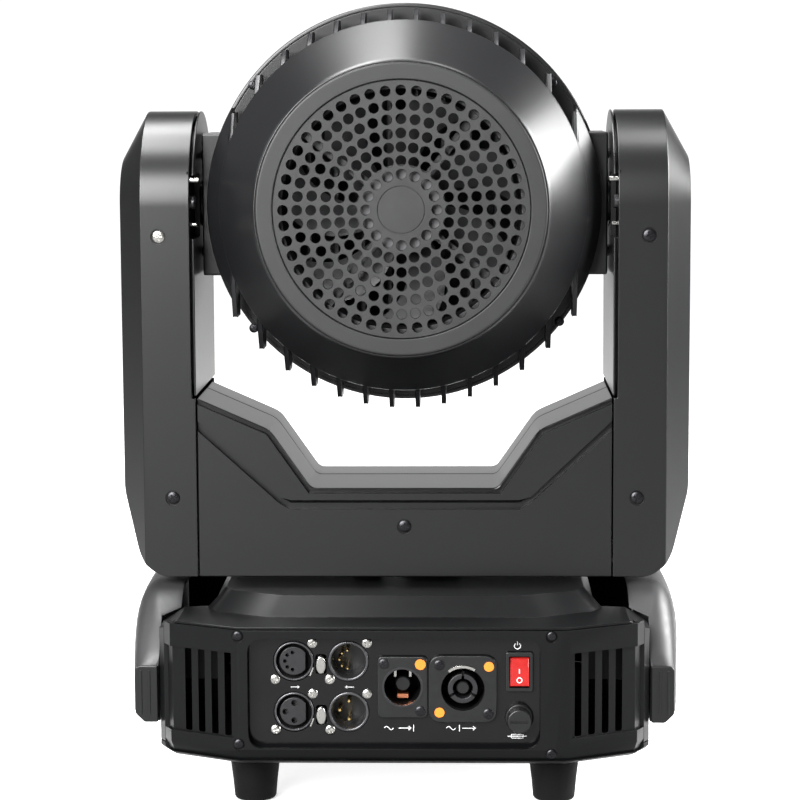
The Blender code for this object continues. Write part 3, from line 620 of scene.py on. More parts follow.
def handle_outline(y):
    """The wing's outline across Y: it bulges out, arches over to a grip and drops away to its ends."""
    outer = 0.143 + 0.005 * (1 - (y / 0.078) ** 2)
    crown = [(outer - 0.0145 * (1 - math.cos(t)), 0.080 + 0.029 * math.sin(t))
             for t in [math.radians(a) for a in range(0, 91, 9)]]
    inner = [(0.1225, 0.1088), (0.1197, 0.1078), (0.1195, 0.1062), (0.1203, 0.1048), (0.1235, 0.1015),
             (0.1268, 0.0965), (0.1291, 0.0935), (0.1296, 0.0920), (0.1296, 0.040)]
    foot = [(0.1350, 0.040), (outer - 0.0035, 0.0435), (outer - 0.0012, 0.0470), (outer, 0.052)]
    left = min(1.0, max(0.0, (0.078 - abs(y)) / 0.042))
    scale = (0.0315 + 0.0375 * math.sin(math.pi / 2 * left) ** 0.8) / 0.069
    placed = []
    for x, z in foot + crown + inner:
        z = 0.040 + (z - 0.040) * scale
        roof = 0.109 - (x - 0.0995) * 0.6116
        placed.append((x if z > roof or x > 0.1296 else 0.1296 + (x - 0.1195) * 0.02, z))
    return placed


def make_handles():
    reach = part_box("side_handle_right")[1].y
    ends = [(-reach, 0.0016), (-reach + 0.0005, 0.0007), (-reach + 0.0016, 0.0)]
    middle = [(reach * i / 20, 0.0) for i in range(-19, 20)]
    stations = ends + middle + [(-y, d) for y, d in reversed(ends)]
    handle = skin([at("Y", inset(handle_outline(y), d), y) for y, d in stations])
    bolt = (-0.040, 0.058)
    handle = cut(handle, twice(turned("X", [(0.0072, 0.1405), (0.0075, 0.1475), (0.0075, 0.160)], bolt, 40)))
    outline = rounded([(0.1303, 0.0402), (0.1376, 0.0402), (0.1424, 0.0450), (0.1424, 0.0688), (0.1406, 0.0706),
                       (0.1303, 0.0706)], 0.0008, 2)
    trims = [slab("Y", outline, low, high) for low, high in ((-0.0806, -0.0782), (0.0782, 0.0806))]
    for x in (0.1348, 0.1392):
        bar = slab("Y", rectangle((x, 0.0565), 0.0012, 0.0235, 0.0003, 2), -0.0811, -0.0807, 0.0001, 1)
        trims += [bar, mirrored(bar, "Y")]
    trim = merged(*trims)
    plug = [(0.0058, 0.1408), (0.0062, 0.1412), (0.0062, 0.1424), (0.0052, 0.1430)]
    plug = twice(turned("X", plug, bolt, 36))
    for name in ("right", "left"):
        piece("handle_wing_" + name, sided(handle, name), "wing", "base", ["side_handle_" + name])
        piece("handle_trim_" + name, sided(trim, name), "casing", "base")
        piece("handle_plug_" + name, sided(plug, name), "rubber", "base")


def make_feet():
    profile = [(0.0046, 0.0070), (0.0046, 0.0010), (0.0052, 0.0002), (0.0062, 0.0), (0.0095, 0.0),
               (0.0104, 0.0003), (0.0110, 0.0012), (0.0118, 0.0100), (0.0135, 0.0242), (0.0134, 0.0247)]
    for name in ("rear_left", "rear_right", "front_left", "front_right"):
        low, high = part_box("foot_" + name)
        middle = (low + high) / 2
        foot = turned("Z", profile, (middle.x, middle.y), 48)
        piece("rubber_foot_" + name, foot, "rubber", "base", ["foot_" + name])
        head = moved(screw_mesh(0.0036), Matrix.Rotation(math.radians(90), 4, "X"))
        head = moved(head, Matrix.Translation((middle.x, middle.y, 0.0068)))
        piece("foot_screw_" + name, head, "steel", "base")


# ---------------------------------------------------------------- connector panel

def make_panel():
    low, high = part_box("connector_panel")
    plate = slab("Y", face_of("connector_panel", 0.002), low.y, high.y, 0.0003, 2)
    holes = [drill(place, 0.0108, 40) for place in XLRS.values()]
    holes += [prism("Y", rectangle(place, 0.0060, 0.0106, 0.002), *THROUGH_PANEL) for place in LATCHES.values()]
    holes += [drill(INLET, 0.0117, 40), drill(OUTLET, 0.0127, 40), drill(FUSE, 0.0066, 32)]
    holes.append(prism("Y", rectangle(SWITCH, 0.0126, 0.0186), *THROUGH_PANEL))
    plate = cut(plate, merged(*holes))
    piece("panel_plate", plate, "panel", "base", ["connector_panel"])
    flat = [(x + side * 0.0097, PANEL_FACE - 0.00005, z + side * 0.0096)
            for x, z in XLRS.values() for side in (1, -1)]
    screws("xlr_screws", flat, 0.0026, "silver", "base", turn=12, depth=0.0011)


def pin_places(centre, count, radius):
    """Contacts on the left part of a circle, as an XLR has them seen from outside."""
    spans = {3: (90, 180, 270), 5: (98, 137, 180, 223, 262)}
    return [polar(centre, radius, math.radians(a)) for a in spans[count]]


def make_female(name, pins):
    centre = XLRS[name]
    rim = ring_solid("Y", [(0.0092, -0.0990), (0.0092, -0.1046), (0.0102, -0.1046), (0.0105, -0.1034),
                           (0.0105, -0.0990)], centre, 56, 0.0004)
    piece(name + "_rim", rim, "rim", "base", [name])
    back = turned("Y", [(0.0094, -0.0995), (0.0094, -0.0992)], centre, 48)
    piece(name + "_well", back, "hole", "base")
    flat = [(x, z) for x, z in circle(0.0075, 56, centre) if x < centre[0] + 0.0062]
    insert = slab("Y", flat, -0.1040, -0.0994, 0.0004, 2)
    size = 0.0016 if pins == 3 else 0.0010
    holes = [drill(place, size, 16, (-0.11, -0.0998)) for place in pin_places(centre, pins, 0.0046)]
    piece(name + "_insert", cut(insert, merged(*holes)), "insert", "base", sharp=45)


def make_male(name, pins):
    centre = XLRS[name]
    shell = ring_solid("Y", [(0.0084, -0.0892), (0.0086, -0.1030), (0.0091, -0.1047), (0.0104, -0.1047),
                             (0.0107, -0.1036), (0.0107, -0.0892)], centre, 64, 0.0005)
    piece(name + "_shell", shell, "rim", "base", [name])
    well = turned("Y", [(0.0106, -0.0890), (0.0106, -0.0882)], centre, 48)
    piece(name + "_well", well, "connector", "base")
    size = 0.00115 if pins == 3 else 0.0008
    contacts = [turned("Y", [(size, -0.0893), (size, -0.1002), (size * 0.55, -0.1008)], place, 16)
                for place in pin_places(centre, pins, 0.0048)]
    piece(name + "_pins", merged(*contacts), "gold", "base")


def make_latch(name):
    x, z = LATCHES[name]
    low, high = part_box("latch_tab_" + name)
    outline = [(x + 0.0026 * math.cos(t), z + 0.0048 * math.sin(t))
               for t in [math.pi * i / 16 for i in range(32)]]
    tab = slab("Y", outline, low.y, high.y, 0.0009, 4)
    piece("latch_button_" + name, tab, "silver", "latch_" + name, ["latch_tab_" + name])
    wire = [[(x - 0.0058, z + side * 0.0062), (x - 0.0048, z + side * 0.0040), (x - 0.0041, z + side * 0.0018)]
            for side in (1, -1)]
    strokes("latch_spring_" + name, wire, PANEL_FACE - 0.0002, 0.0007, "silver", "base")


def flange(centre, width, height, radius, bore):
    """A power socket's plate, with the hole its socket sits in."""
    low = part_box("power_inlet")[0].y
    plate = slab("Y", rectangle(centre, width, height, radius, 6), low, PANEL_FACE - GAP, 0.0007)
    return cut(plate, drill(centre, bore, 56, (-0.12, -0.09)))


def orange_dot(place, radius, face):
    """A round mark let into a flange's face."""
    return slab("Y", circle(radius, 32, place), face - 0.0004, face + 0.0002, 0.0002, 2)


def barrel(centre, inner, outer, front, back):
    """A cup with a floor: the wall of a round socket."""
    profile = [(0.0005, back + 0.001), (inner, back + 0.001), (inner, front), (outer, front), (outer, back),
               (0.0005, back)]
    return turned("Y", profile, centre, 56, True)


def make_inlet():
    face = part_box("power_inlet")[0].y
    x, z = INLET
    plate = flange(INLET, 0.026, 0.0325, 0.0030, 0.0100)
    piece("power_inlet_flange", plate, "connector", "base", ["power_inlet"])
    rim = ring_solid("Y", [(0.0095, face + 0.0020), (0.0095, face - 0.0002), (0.0107, face - 0.0002),
                           (0.0107, face + 0.0004), (0.0099, face + 0.0020)], INLET, 56, 0.0002)
    piece("power_inlet_rim", rim, "insert", "base")
    piece("power_inlet_socket", barrel(INLET, 0.0095, 0.0114, -0.1034, -0.080), "hole", "base")
    core = turned("Y", [(0.0040, WELL_FLOOR), (0.0040, -0.0965), (0.0034, -0.0972)], (x, z - 0.0002), 32)
    piece("power_inlet_core", core, "connector", "base")
    blades = [slab("Y", rectangle(polar(INLET, 0.0068, math.radians(turn)), 0.0016, 0.0036, 0.0004, 2), -0.0990,
                   WELL_FLOOR, 0.0002, 1) for turn in (125, 55)]
    piece("power_inlet_blades", merged(*blades), "silver", "base")
    earth = slab("Y", rectangle((x, z - 0.0064), 0.0062, 0.0026, 0.0006, 2), -0.0985, WELL_FLOOR, 0.0003, 1)
    piece("power_inlet_earth", earth, "copper", "base")
    mark = orange_dot((x + 0.0093, z + 0.0121), 0.0028, face)
    piece("power_inlet_mark", mark, "orange", "base")
    screws("power_inlet_screws", [(x - 0.0095, face, z + 0.0125), (x + 0.0093, face, z - 0.0125)], 0.0027,
           "screw_black", "base", turn=15, depth=0.0009)


def make_outlet():
    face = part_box("power_outlet")[0].y
    x, z = OUTLET
    plate = flange(OUTLET, 0.0355, 0.0355, 0.0070, 0.0113)
    piece("power_outlet_flange", plate, "connector", "base", ["power_outlet"])
    piece("power_outlet_socket", barrel(OUTLET, 0.0110, 0.0124, -0.1034, -0.090), "hole", "base")
    ring = [(0.0052, -0.0912), (0.0052, -0.1048), (0.0078, -0.1048), (0.0078, -0.0912)]
    ring = ring_solid("Y", ring, OUTLET, 56, 0.0004)
    keyway = box(-0.0007, 0.0007, -0.12, -0.0985, 0.0040, 0.0090)
    ring = cut(ring, *(spun(keyway, turn, OUTLET) for turn in (0, 120, 240)))
    piece("power_outlet_insert", ring, "insert", "base", sharp=45)
    core = turned("Y", [(0.0034, -0.0912), (0.0034, -0.1022), (0.0029, -0.1028)], OUTLET, 32)
    piece("power_outlet_core", core, "connector", "base")
    band = arc(OUTLET, 0.0128, 58, 128, 14) + arc(OUTLET, 0.0112, 128, 58, 14)
    latch = slab("Y", band, face - 0.0009, face - 0.0001, 0.0002, 1)
    piece("power_outlet_latch", latch, "silver", "base")
    marks = [orange_dot(dot, 0.0026, face) for dot in ((x + 0.0135, z + 0.0120), (x - 0.0121, z - 0.0122))]
    piece("power_outlet_marks", merged(*marks), "orange", "base")
    screws("power_outlet_screws", [(x - 0.0121, face, z + 0.0129), (x + 0.0131, face, z - 0.0129)], 0.0027,
           "screw_black", "base", turn=40, depth=0.0009)


def make_switch():
    low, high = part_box("switch_frame")
    outer = rectangle(SWITCH, high.x - low.x, high.z - low.z, 0.0016)
    frame_mesh = slab("Y", outer, low.y, PANEL_FACE - GAP, 0.0006)
    window = prism("Y", rectangle(SWITCH, 0.0106, 0.0166, 0.0006, 2), -0.12, -0.09)
    piece("switch_bezel", cut(frame_mesh, window), "connector", "base", ["switch_frame"])
    x, z = SWITCH
    well = box(x - 0.0053, x + 0.0053, -0.0950, -0.0940, z - 0.0083, z + 0.0083)
    piece("switch_well", well, "hole", "base")
    lower = [(-0.0980, z - 0.0050), (-0.1060, z - 0.0074), (-0.1064, z - 0.0070), (-0.1056, z + 0.0026)]
    upper = [(-0.1053, z + 0.0032), (-0.1036, z + 0.0070), (-0.1032, z + 0.0074), (-0.0980, z + 0.0050)]
    rocker = slab("X", lower + upper, x - 0.0049, x + 0.0049, 0.0004, 2)
    piece("rocker", rocker, "red", "switch_rocker", ["switch_rocker"], sharp=20)
    marks = [[(0.0, -0.0008), (0.0, 0.0016)], arc((0.0, -0.0042), 0.0013, 0, 360, 20)]
    slope = math.atan2(0.0008, 0.0096)
    strokes("rocker_marks", marks, -0.10585, 0.0005, "white", "switch_rocker", (x, z), -slope)


def make_fuse():
    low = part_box("fuse_holder")[0].y
    seat = PANEL_FACE - GAP
    collar = [(0.0049, -0.0900), (0.0049, low), (0.0068, low), (0.0075, low + 0.0010), (0.0075, seat),
              (0.0064, seat), (0.0064, -0.0900)]
    collar = ring_solid("Y", collar, FUSE, 48, 0.0003)
    piece("fuse_collar", collar, "connector", "base", ["fuse_holder"])
    front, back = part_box("fuse_cap")[0].y, low - GAP
    cap = turned("Y", [(0.0044, -0.0880), (0.0044, back), (0.0061, back), (0.0063, back - 0.0006),
                       (0.0063, front + 0.0010), (0.0060, front + 0.0003), (0.0054, front)], FUSE, 48)
    x, z = FUSE
    cutters = [box(x - 0.0046, x + 0.0046, -0.12, front + 0.0011, z - 0.0007, z + 0.0007)]
    for i in range(18):
        cutters.append(drill(polar(FUSE, 0.0066, 2 * math.pi * i / 18), 0.0005, 8, (-0.12, back - 0.0008)))
    piece("fuse_knob", cut(cap, merged(*cutters)), "connector", "fuse_cap", ["fuse_cap"], sharp=40)


def wave(centre, width, height):
    """One cycle of a sine: the sign for mains power."""
    return [(centre[0] + width * (i / 12 - 0.5), centre[1] + height * math.sin(2 * math.pi * i / 12))
            for i in range(13)]


def arrow(tip, tail, head=0.0014):
    """An arrow along X."""
    x, z = tip
    barb = x - head if x > tail[0] else x + head
    return [[tail, tip], [(barb, z + head * 0.75), tip, (barb, z - head * 0.75)]]


def make_symbols():
    """Printed signs in place of words: mains in and out, the switch, the fuse, and signal in and out."""
    x, z = INLET[0] - 0.0010, 0.0434
    lines = [wave((x - 0.0062, z), 0.0048, 0.0009), [(x + 0.0066, z - 0.0018), (x + 0.0066, z + 0.0018)]]
    lines += arrow((x + 0.0054, z), (x - 0.0012, z))
    x, z = OUTLET[0], 0.0434
    lines += [wave((x - 0.0062, z), 0.0048, 0.0009), [(x - 0.0018, z - 0.0018), (x - 0.0018, z + 0.0018)]]
    lines += arrow((x + 0.0066, z), (x - 0.0004, z))
    x, z = SWITCH[0] - 0.0010, SWITCH[1] + 0.0134
    lines += [arc((x, z), 0.0016, 125, 415, 18), [(x, z + 0.0004), (x, z + 0.0024)]]
    x, z = FUSE[0] - 0.0010, 0.0392
    lines += [[(x - 0.0050, z), (x + 0.0050, z)],
              [(x - 0.0030, z - 0.0010), (x + 0.0030, z - 0.0010), (x + 0.0030, z + 0.0010),
               (x - 0.0030, z + 0.0010), (x - 0.0030, z - 0.0010)]]
    strokes("panel_signs", lines, PANEL_FACE, 0.00042, "white", "base")
    faint = []
    for name, place in XLRS.items():
        out = 1 if "out" in name else -1
        x, z = place[0] + 0.0006, place[1] + 0.0131
        faint += arrow((x + 0.0022 * out, z), (x - 0.0022 * out, z), 0.0009)
    strokes("signal_signs", faint, PANEL_FACE, 0.00030, "white", "base")


def make_display():
    low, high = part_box("display_panel")
    centre = (-0.0165, (low.z + high.z) / 2)
    plate = slab("Y", face_of("display_panel", 0.004, 6), low.y, high.y, 0.0005)
    cutters = [drill(place, 0.0046, 32, (0.10, 0.12)) for place in BUTTONS.values()]
    cutters.append(prism("Y", rectangle(centre, 0.0560, 0.0300, 0.0015), high.y - 0.0006, 0.12))
    piece("control_panel", cut(plate, merged(*cutters)), "connector", "base", ["display_panel"])
    outline = rectangle(centre, 0.0556, 0.0296, 0.0014)
    screen = slab("Y", outline, high.y - 0.0006, high.y - 0.0001, 0.0001, 1)
    piece("screen", screen, "screen", "base")
    rows = []
    for i, length in enumerate((0.020, 0.028, 0.016, 0.024)):
        z = centre[1] + 0.0080 - 0.0055 * i
        rows.append([(-0.0400, z), (-0.0400 + length, z)])
    strokes("screen_rows", rows, high.y - 0.0001, 0.0008, "rim", "base")
    for name, place in BUTTONS.items():
        back, front = (corner.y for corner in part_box("button_" + name))
        button = turned("Y", [(0.0040, back), (0.0042, back + 0.0004), (0.0042, front - 0.0007),
                              (0.0039, front - 0.0002), (0.0032, front)], place, 36)
        piece("key_" + name, button, "rubber", "button_" + name, ["button_" + name])
    signs = {"menu": [[(-0.0014, d), (0.0014, d)] for d in (-0.0008, 0.0, 0.0008)],
             "up": [[(-0.0012, -0.0006), (0.0, 0.0008), (0.0012, -0.0006)]],
             "down": [[(-0.0012, 0.0006), (0.0, -0.0008), (0.0012, 0.0006)]],
             "enter": [[(0.0012, 0.0009), (0.0012, -0.0004), (-0.0012, -0.0004)],
                       [(-0.0005, 0.0003), (-0.0012, -0.0004), (-0.0005, -0.0011)]]}
    lines = [[(BUTTONS[name][0] + x, BUTTONS[name][1] + 0.0066 + z) for x, z in line]
             for name, sign in signs.items() for line in sign]
    strokes("key_signs", lines, high.y, 0.0004, "white", "base")


# ---------------------------------------------------------------- yoke

def screw_pocket(place):
    """A counterbore for a screw in the yoke's rear face."""
    return drill(place, 0.0042, 32, (-0.06, -HALF_DEPTH + 0.0014))


def across(half):
    """An outline's right half with its mirror image."""
    return half + [(-x, z) for x, z in reversed(half)]


def crossbar_outline(distance=0.0, drop=0.0):
    """The crossbar across Y: an open V with a flat floor."""
    half = [(0.125, YOKE_BOTTOM), (0.125, 0.2156 - drop), (0.0717, 0.1922 - drop), (0.0497, 0.1608 - drop)]
    return inset(across(half), distance)


def soft_crossbar(distance=0.0, drop=0.0):
    return rounded(crossbar_outline(distance, drop), [0, 0, 0.004, 0.003, 0.003, 0.004, 0, 0], 4)


def make_crossbar():
    clip = box(-0.1106, 0.1106, -0.06, 0.06, 0.10, 0.25)
    shaft = prism("Z", circle(0.0205), 0.10, 0.12)
    rear = keep(prism("Y", soft_crossbar(), -HALF_DEPTH, -GAP / 2), clip)
    rear = bevelled(cut(rear, prism("Y", crossbar_outline(WALL), -HALF_DEPTH + 0.0068, 0.01), shaft), 0.0008)
    step = across(crossbar_outline(0.0005)[1:4]) + list(reversed(across(crossbar_outline(0.0031)[1:4])))
    rear = cut(rear, prism("Y", step, -0.06, -HALF_DEPTH + 0.0045))
    lower = [(0.125, 0.2047), (0.0675, 0.1527), (0.0615, 0.1490)]
    upper = [(0.125, 0.2108), (0.0675, 0.1560), (0.0610, 0.1543)]
    sunk = [(0.125, 0.2108), (0.0675, 0.1556), (0.0612, 0.1521)]
    face, floor = (across(top) + list(reversed(across(lower))) for top in (upper, sunk))
    rear = cut(rear, skin([at("Y", face, -HALF_DEPTH - 0.0001), at("Y", floor, -HALF_DEPTH + 0.0045)]))
    rear = cut(rear, screw_pocket(YOKE_SCREWS[-1]))
    piece("crossbar_rear", rear, "casing", "yoke", ["crossbar_rear_cover"])

    shoulder = 0.029
    front = skin([at("Y", soft_crossbar(), GAP / 2), at("Y", soft_crossbar(), shoulder),
                  at("Y", soft_crossbar(0.0, 0.008), HALF_DEPTH)])
    hollow = skin([at("Y", crossbar_outline(WALL), -0.01), at("Y", crossbar_outline(WALL), shoulder - 0.001),
                   at("Y", crossbar_outline(WALL, 0.008), HALF_DEPTH - WALL)])
    front = bevelled(cut(keep(front, clip), hollow, shaft), 0.0008)
    piece("crossbar_front", front, "casing", "yoke", ["crossbar_front_cover"])


def arm_side(radius, low):
    """An arm from the side, with a round top about the tilt axis."""
    return [(-radius, low), (radius, low)] + arc((0.0, TILT), radius, 0, 180, 56)


def arm_solid(distance):
    """An arm with a wide chamfer that follows its side outline round the top."""
    wide, deep = 0.014, 0.025
    slope = deep / wide
    reach = math.hypot(1.0, slope)
    radius = HALF_DEPTH - distance
    stations = [(0.09, radius), (ARM_HIGH.x - wide - distance * (reach - 1) / slope, radius),
                (ARM_HIGH.x - distance, HALF_DEPTH - deep - distance * (reach - slope))]
    solid = skin([at("X", arm_side(r, YOKE_BOTTOM + distance), x) for x, r in stations])
    rear = [(0.08, YOKE_BOTTOM), (0.132, YOKE_BOTTOM), (0.143, 0.122), (ARM_HIGH.x, 0.156),
            (ARM_HIGH.x, 0.38), (0.08, 0.38)]
    rear = rounded(inset(rear, distance), [0, 0.006, 0.006, 0.004, 0, 0], 4)
    return keep(solid, prism("Y", rear, -0.06, 0.06))


def make_arms():
    joint = 0.2100
    cover = cut(arm_solid(0.0), arm_solid(WALL), box(0.08, 0.1113, -0.07, 0.07, 0.10, joint),
                box(0.08, 0.1133, -0.07, 0.07, joint - 0.001, 0.38))
    cover = cut(bevelled(cover, 0.0014), merged(*(twice(screw_pocket(place)) for place in YOKE_SCREWS[:2])))

    side = arm_side(HALF_DEPTH, joint + 0.0006)
    plate = join(slab("X", side, 0.1109, 0.1119, 0.0004, 2), prism("X", inset(side, 0.006), 0.1116, 0.1136))
    window = box(0.10, 0.12, -0.052, -0.019, TILT - 0.0170, TILT + 0.0166)
    plate = cut(plate, prism("X", circle(0.0140, 48, (0.0, TILT)), 0.10, 0.12), window, mirrored(window, "Y"))
    pocket = twice(box(0.1140, 0.1146, -0.047, -0.016, TILT - 0.019, TILT + 0.0186))
    pins = [turned("X", [(0.0010, 0.1084), (0.0013, 0.1087), (0.0013, 0.1140)], (-0.0445, TILT + 0.0140), 20),
            turned("X", [(0.0008, 0.1100), (0.0011, 0.1103), (0.0011, 0.1140)], (-0.0420, TILT - 0.0096), 20)]
    pins = merged(*pins, *[mirrored(pin, "Y") for pin in pins])
    cam = [(0.0032, 0.1112), (0.0036, 0.1116), (0.0036, 0.1140)]
    cams = twice(turned("X", cam, (-0.0405, TILT + 0.0020), 28))
    for name in ("right", "left"):
        piece("arm_shell_" + name, sided(cover, name), "casing", "yoke", ["arm_cover_" + name])
        piece("arm_lining_" + name, sided(plate, name), "casing", "yoke", ["arm_inner_cover_" + name])
        piece("lock_pocket_" + name, sided(pocket, name), "hole", "yoke")
        piece("lock_pins_" + name, sided(pins, name), "silver", "yoke")
        piece("lock_cam_" + name, sided(cams, name), "rim", "yoke")

    seat = -HALF_DEPTH + 0.0014
    bright = (-YOKE_SCREWS[0][0], YOKE_SCREWS[0][1])
    places = [(x, seat, z) for x, z in YOKE_SCREWS if (x, z) != bright]
    places += [(x, -seat, z) for x, z in YOKE_SCREWS[:4]]
    screws("yoke_screws", places, 0.0034, "screw_black", "yoke", turn=25, depth=0.0013)
    screws("yoke_screw_bright", [(bright[0], seat, bright[1])], 0.0034, "silver", "yoke", turn=40, depth=0.0013)


def make_collar():
    collar = [(0.0206, 0.1098), (0.0300, 0.1098), (0.0300, 0.1122), (0.0206, 0.1122)]
    piece("pan_collar", ring_solid("Z", collar, (0.0, 0.0)), "steel", "yoke")


# ---------------------------------------------------------------- head

def make_ring():
    low, high = RING_LOW.y, RING_HIGH.y
    profile = [(0.0950, low), (0.1050, low), (0.1050, low + 0.0007), (0.1056, low + 0.0007), (0.1056, low),
               (0.1076, low), (0.1076, high), (0.0950, high)]
    radii = [0.0003, 0.0002, 0.0001, 0.0001, 0.0002, 0.0014, 0.0014, 0.0003]
    ring = turned("Y", rounded(profile, radii, 3), LAMP, 144, True)
    ring = keep(ring, box(RING_LOW.x, RING_HIGH.x, -0.1, 0.1, 0.15, 0.45))
    piece("lamp_ring", ring, "casing", "head", ["head_ring"])
    places = [(-0.0823, low, 0.3750), (0.0796, low, 0.3753), (-0.0834, low, 0.2427), (0.0840, low, 0.2460)]
    screws("ring_screws", places, 0.0026, "screw_black", "head", turn=30)


def make_trunnions():
    low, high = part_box("trunnion_right")
    plate = slab("X", rectangle(LAMP, 0.040, 0.076, 0.004), low.x, 0.1093)
    shaft = [(0.0081, 0.1060), (0.0119, 0.1060), (0.0119, high.x), (0.0081, high.x)]
    trunnion = cut(plate, prism("X", circle(0.0082, 48, LAMP), 0.10, 0.12))
    trunnion = join(trunnion, ring_solid("X", shaft, LAMP, 56))
    arm = slab("X", rectangle((-0.0170, TILT), 0.0130, 0.0764, 0.0014), 0.0975, 0.1088, 0.0008)
    trunnion = merged(trunnion, arm, mirrored(arm, "Y"))
    bolt, bolts = [(0.0014, 0.1090), (0.0026, 0.1092), (0.0024, 0.1104), (0.0012, 0.1106)], []
    for turn in (35, 145, 215, 325):
        place = (0.0245 * math.cos(math.radians(turn)) * 0.62, TILT + 0.0460 * math.sin(math.radians(turn)))
        bolts.append(turned("X", bolt, place, 6))
    bolts = merged(*bolts)
    for name in ("right", "left"):
        piece("tilt_trunnion_" + name, sided(trunnion, name), "casing", "head", ["trunnion_" + name])
        piece("trunnion_bolts_" + name, sided(bolts, name), "screw_black", "head")


def make_shroud():
    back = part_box("rear_shroud")[0].y
    cone = [(0.0976, -0.0490), (0.0976, -0.0503), (0.0768, -0.0882), (0.0758, -0.0893), (0.0753, -0.0893),
            (0.0753, -0.0860), (0.0950, -0.0490)]
    shroud = turned("Y", rounded(cone, [0.0006, 0.0010, 0.0014, 0.0004, 0, 0, 0.0004], 4), LAMP, 160, True)
    piece("shroud_cone", shroud, "shroud", "head", ["rear_shroud"])
    face = [(0.0751, -0.0870), (0.0751, -0.0893), (0.0744, back + 0.0001), (0.0667, back + 0.0001),
            (0.0664, back + 0.0005), (0.0664, back + 0.0030)]
    face = turned("Y", rounded(face, [0, 0.0003, 0.0006, 0.0003, 0, 0], 4), LAMP, 160, True)
    piece("shroud_face", face, "satin", "head")
    flare = [(0.0950, -0.0500), (0.0972, -0.0508), (0.1052, -0.0363), (0.1052, -0.0150), (0.0950, -0.0150)]
    ears = turned("Y", rounded(flare, [0, 0, 0.0010, 0.0006, 0], 3), LAMP, 160, True)
    ears = cut(ears, box(-0.0915, 0.0915, -0.1, 0.1, 0.15, 0.45))
    piece("shroud_ears", ears, "shroud", "head")


def make_grille():
    low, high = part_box("rear_grille")
    face = low.y
    disc = turned("Y", [(0.0658, high.y), (0.0661, high.y - 0.0003), (0.0661, face + 0.0004), (0.0657, face)],
                  LAMP, 160)
    hole, cutters = [(0.0029, face - 0.0002), (0.0026, face + 0.0004), (0.0026, high.y + 0.001)], []
    for radius, count in HOLE_RINGS:
        for i in range(count):
            turn = 2 * math.pi * i / count
            cutters.append(turned("Y", hole, (radius * math.sin(turn), TILT + radius * math.cos(turn)), 20))
    disc = cut(disc, merged(*cutters))
    groove = ring_solid("Y", [(0.01175, face - 0.001), (0.01245, face - 0.001), (0.01245, face + 0.0007),
                              (0.01175, face + 0.0007)], LAMP, 96, 0.0001)
    piece("grille_disc", cut(disc, groove), "grille", "head", ["rear_grille"], sharp=30)


def make_heat_sink():
    fins = []
    for i in range(14):
        x = (i - 6.5) * FIN_PITCH
        top, bottom, rim = (math.sqrt(reach ** 2 - x ** 2) for reach in (0.1034, 0.1088, 0.0972))
        inner = math.sqrt(max(0.0835 ** 2 - x ** 2, 0.0))
        outline = [(-0.0155, TILT - bottom), (-0.0155, TILT + top), (-0.0370, TILT + top),
                   (-0.0490, TILT + rim)]
        if inner:
            outline += [(-0.0490, TILT + inner), (-0.0580, TILT + inner), (-0.0580, TILT - inner),
                        (-0.0490, TILT - inner)]
        outline += [(-0.0490, TILT - rim), (-0.0340, TILT - bottom)]
        fins.append(slab("X", [(y, z) for y, z in reversed(outline)], x - 0.0012, x + 0.0012, 0.0004, 2))
    plate = turned("Y", [(0.0936, -0.0100), (0.0940, -0.0104), (0.0940, -0.0156), (0.0936, -0.0160)], LAMP, 96)
    piece("heat_sink_fins", merged(*fins), "fin", "head", ["heat_sink"])
    piece("heat_sink_plate", plate, "fin", "head")


def blade_mesh():
    """One swept fan blade about the Y axis, pointing up at its root."""
    low, high = ROTOR_BACK, ROTOR_FRONT
    rings = []
    for i in range(9):
        t = i / 8
        radius = 0.0195 + (0.0595 - 0.0195) * t
        sweep = math.radians(18 * t * t + 6 * t)
        half = math.radians(17 - 3 * t)
        sink = 0.0012 + 0.0016 * t
        points = []
        for side, rise in ((-1, 0.0), (-0.35, -0.0009), (0.35, -0.0009), (1, 0.0)):
            turn = sweep + side * half
            y = low + sink + (high - low - 2 * sink) * (side + 1) / 2 + rise
            points.append((radius * math.sin(turn), y, radius * math.cos(turn)))
        under = [(x, y + 0.0013, z) for x, y, z in reversed(points)]
        rings.append(points + under)
    return skin(rings)


def make_fan():
    low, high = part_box("fan_frame")
    frame_ring = ring_solid("Y", [(0.0616, low.y), (0.0650, low.y), (0.0655, low.y + 0.004), (0.0655, high.y),
                                  (0.0616, high.y)], LAMP, 96)
    hub = turned("Y", [(0.0225, low.y + 0.0030), (0.0230, low.y + 0.0026), (0.0230, low.y + 0.0006),
                       (0.0222, low.y)], LAMP, 64)
    struts = []
    for i in range(4):
        strut = box(0.020, 0.063, low.y + 0.0004, low.y + 0.0026, -0.0020, 0.0020)
        struts.append(spun(strut, 38 + 90 * i, LAMP))
    piece("fan_housing", merged(frame_ring, *struts), "fan", "head", ["fan_frame"])
    piece("fan_label", hub, "hub", "head")
    boss = [(0.0200, ROTOR_FRONT + 0.0005), (0.0205, ROTOR_FRONT), (0.0205, ROTOR_BACK),
            (0.0195, ROTOR_BACK - 0.0008)]
    rotor = [turned("Y", boss, LAMP, 64)]
    blade = blade_mesh()
    rotor += [spun(blade, 360 * i / 7, LAMP) for i in range(7)]
    piece("fan_blades", merged(*rotor), "fan", "fan", ["fan_rotor"], sharp=45)


def lens_places():
    """One, six and twelve places on a triangular grid."""
    places = []
    for row in range(-2, 3):
        count = 5 - abs(row)
        for i in range(count):
            places.append(((i - (count - 1) / 2) * LENS_PITCH, TILT + row * LENS_PITCH * math.sqrt(3) / 2))
    return places


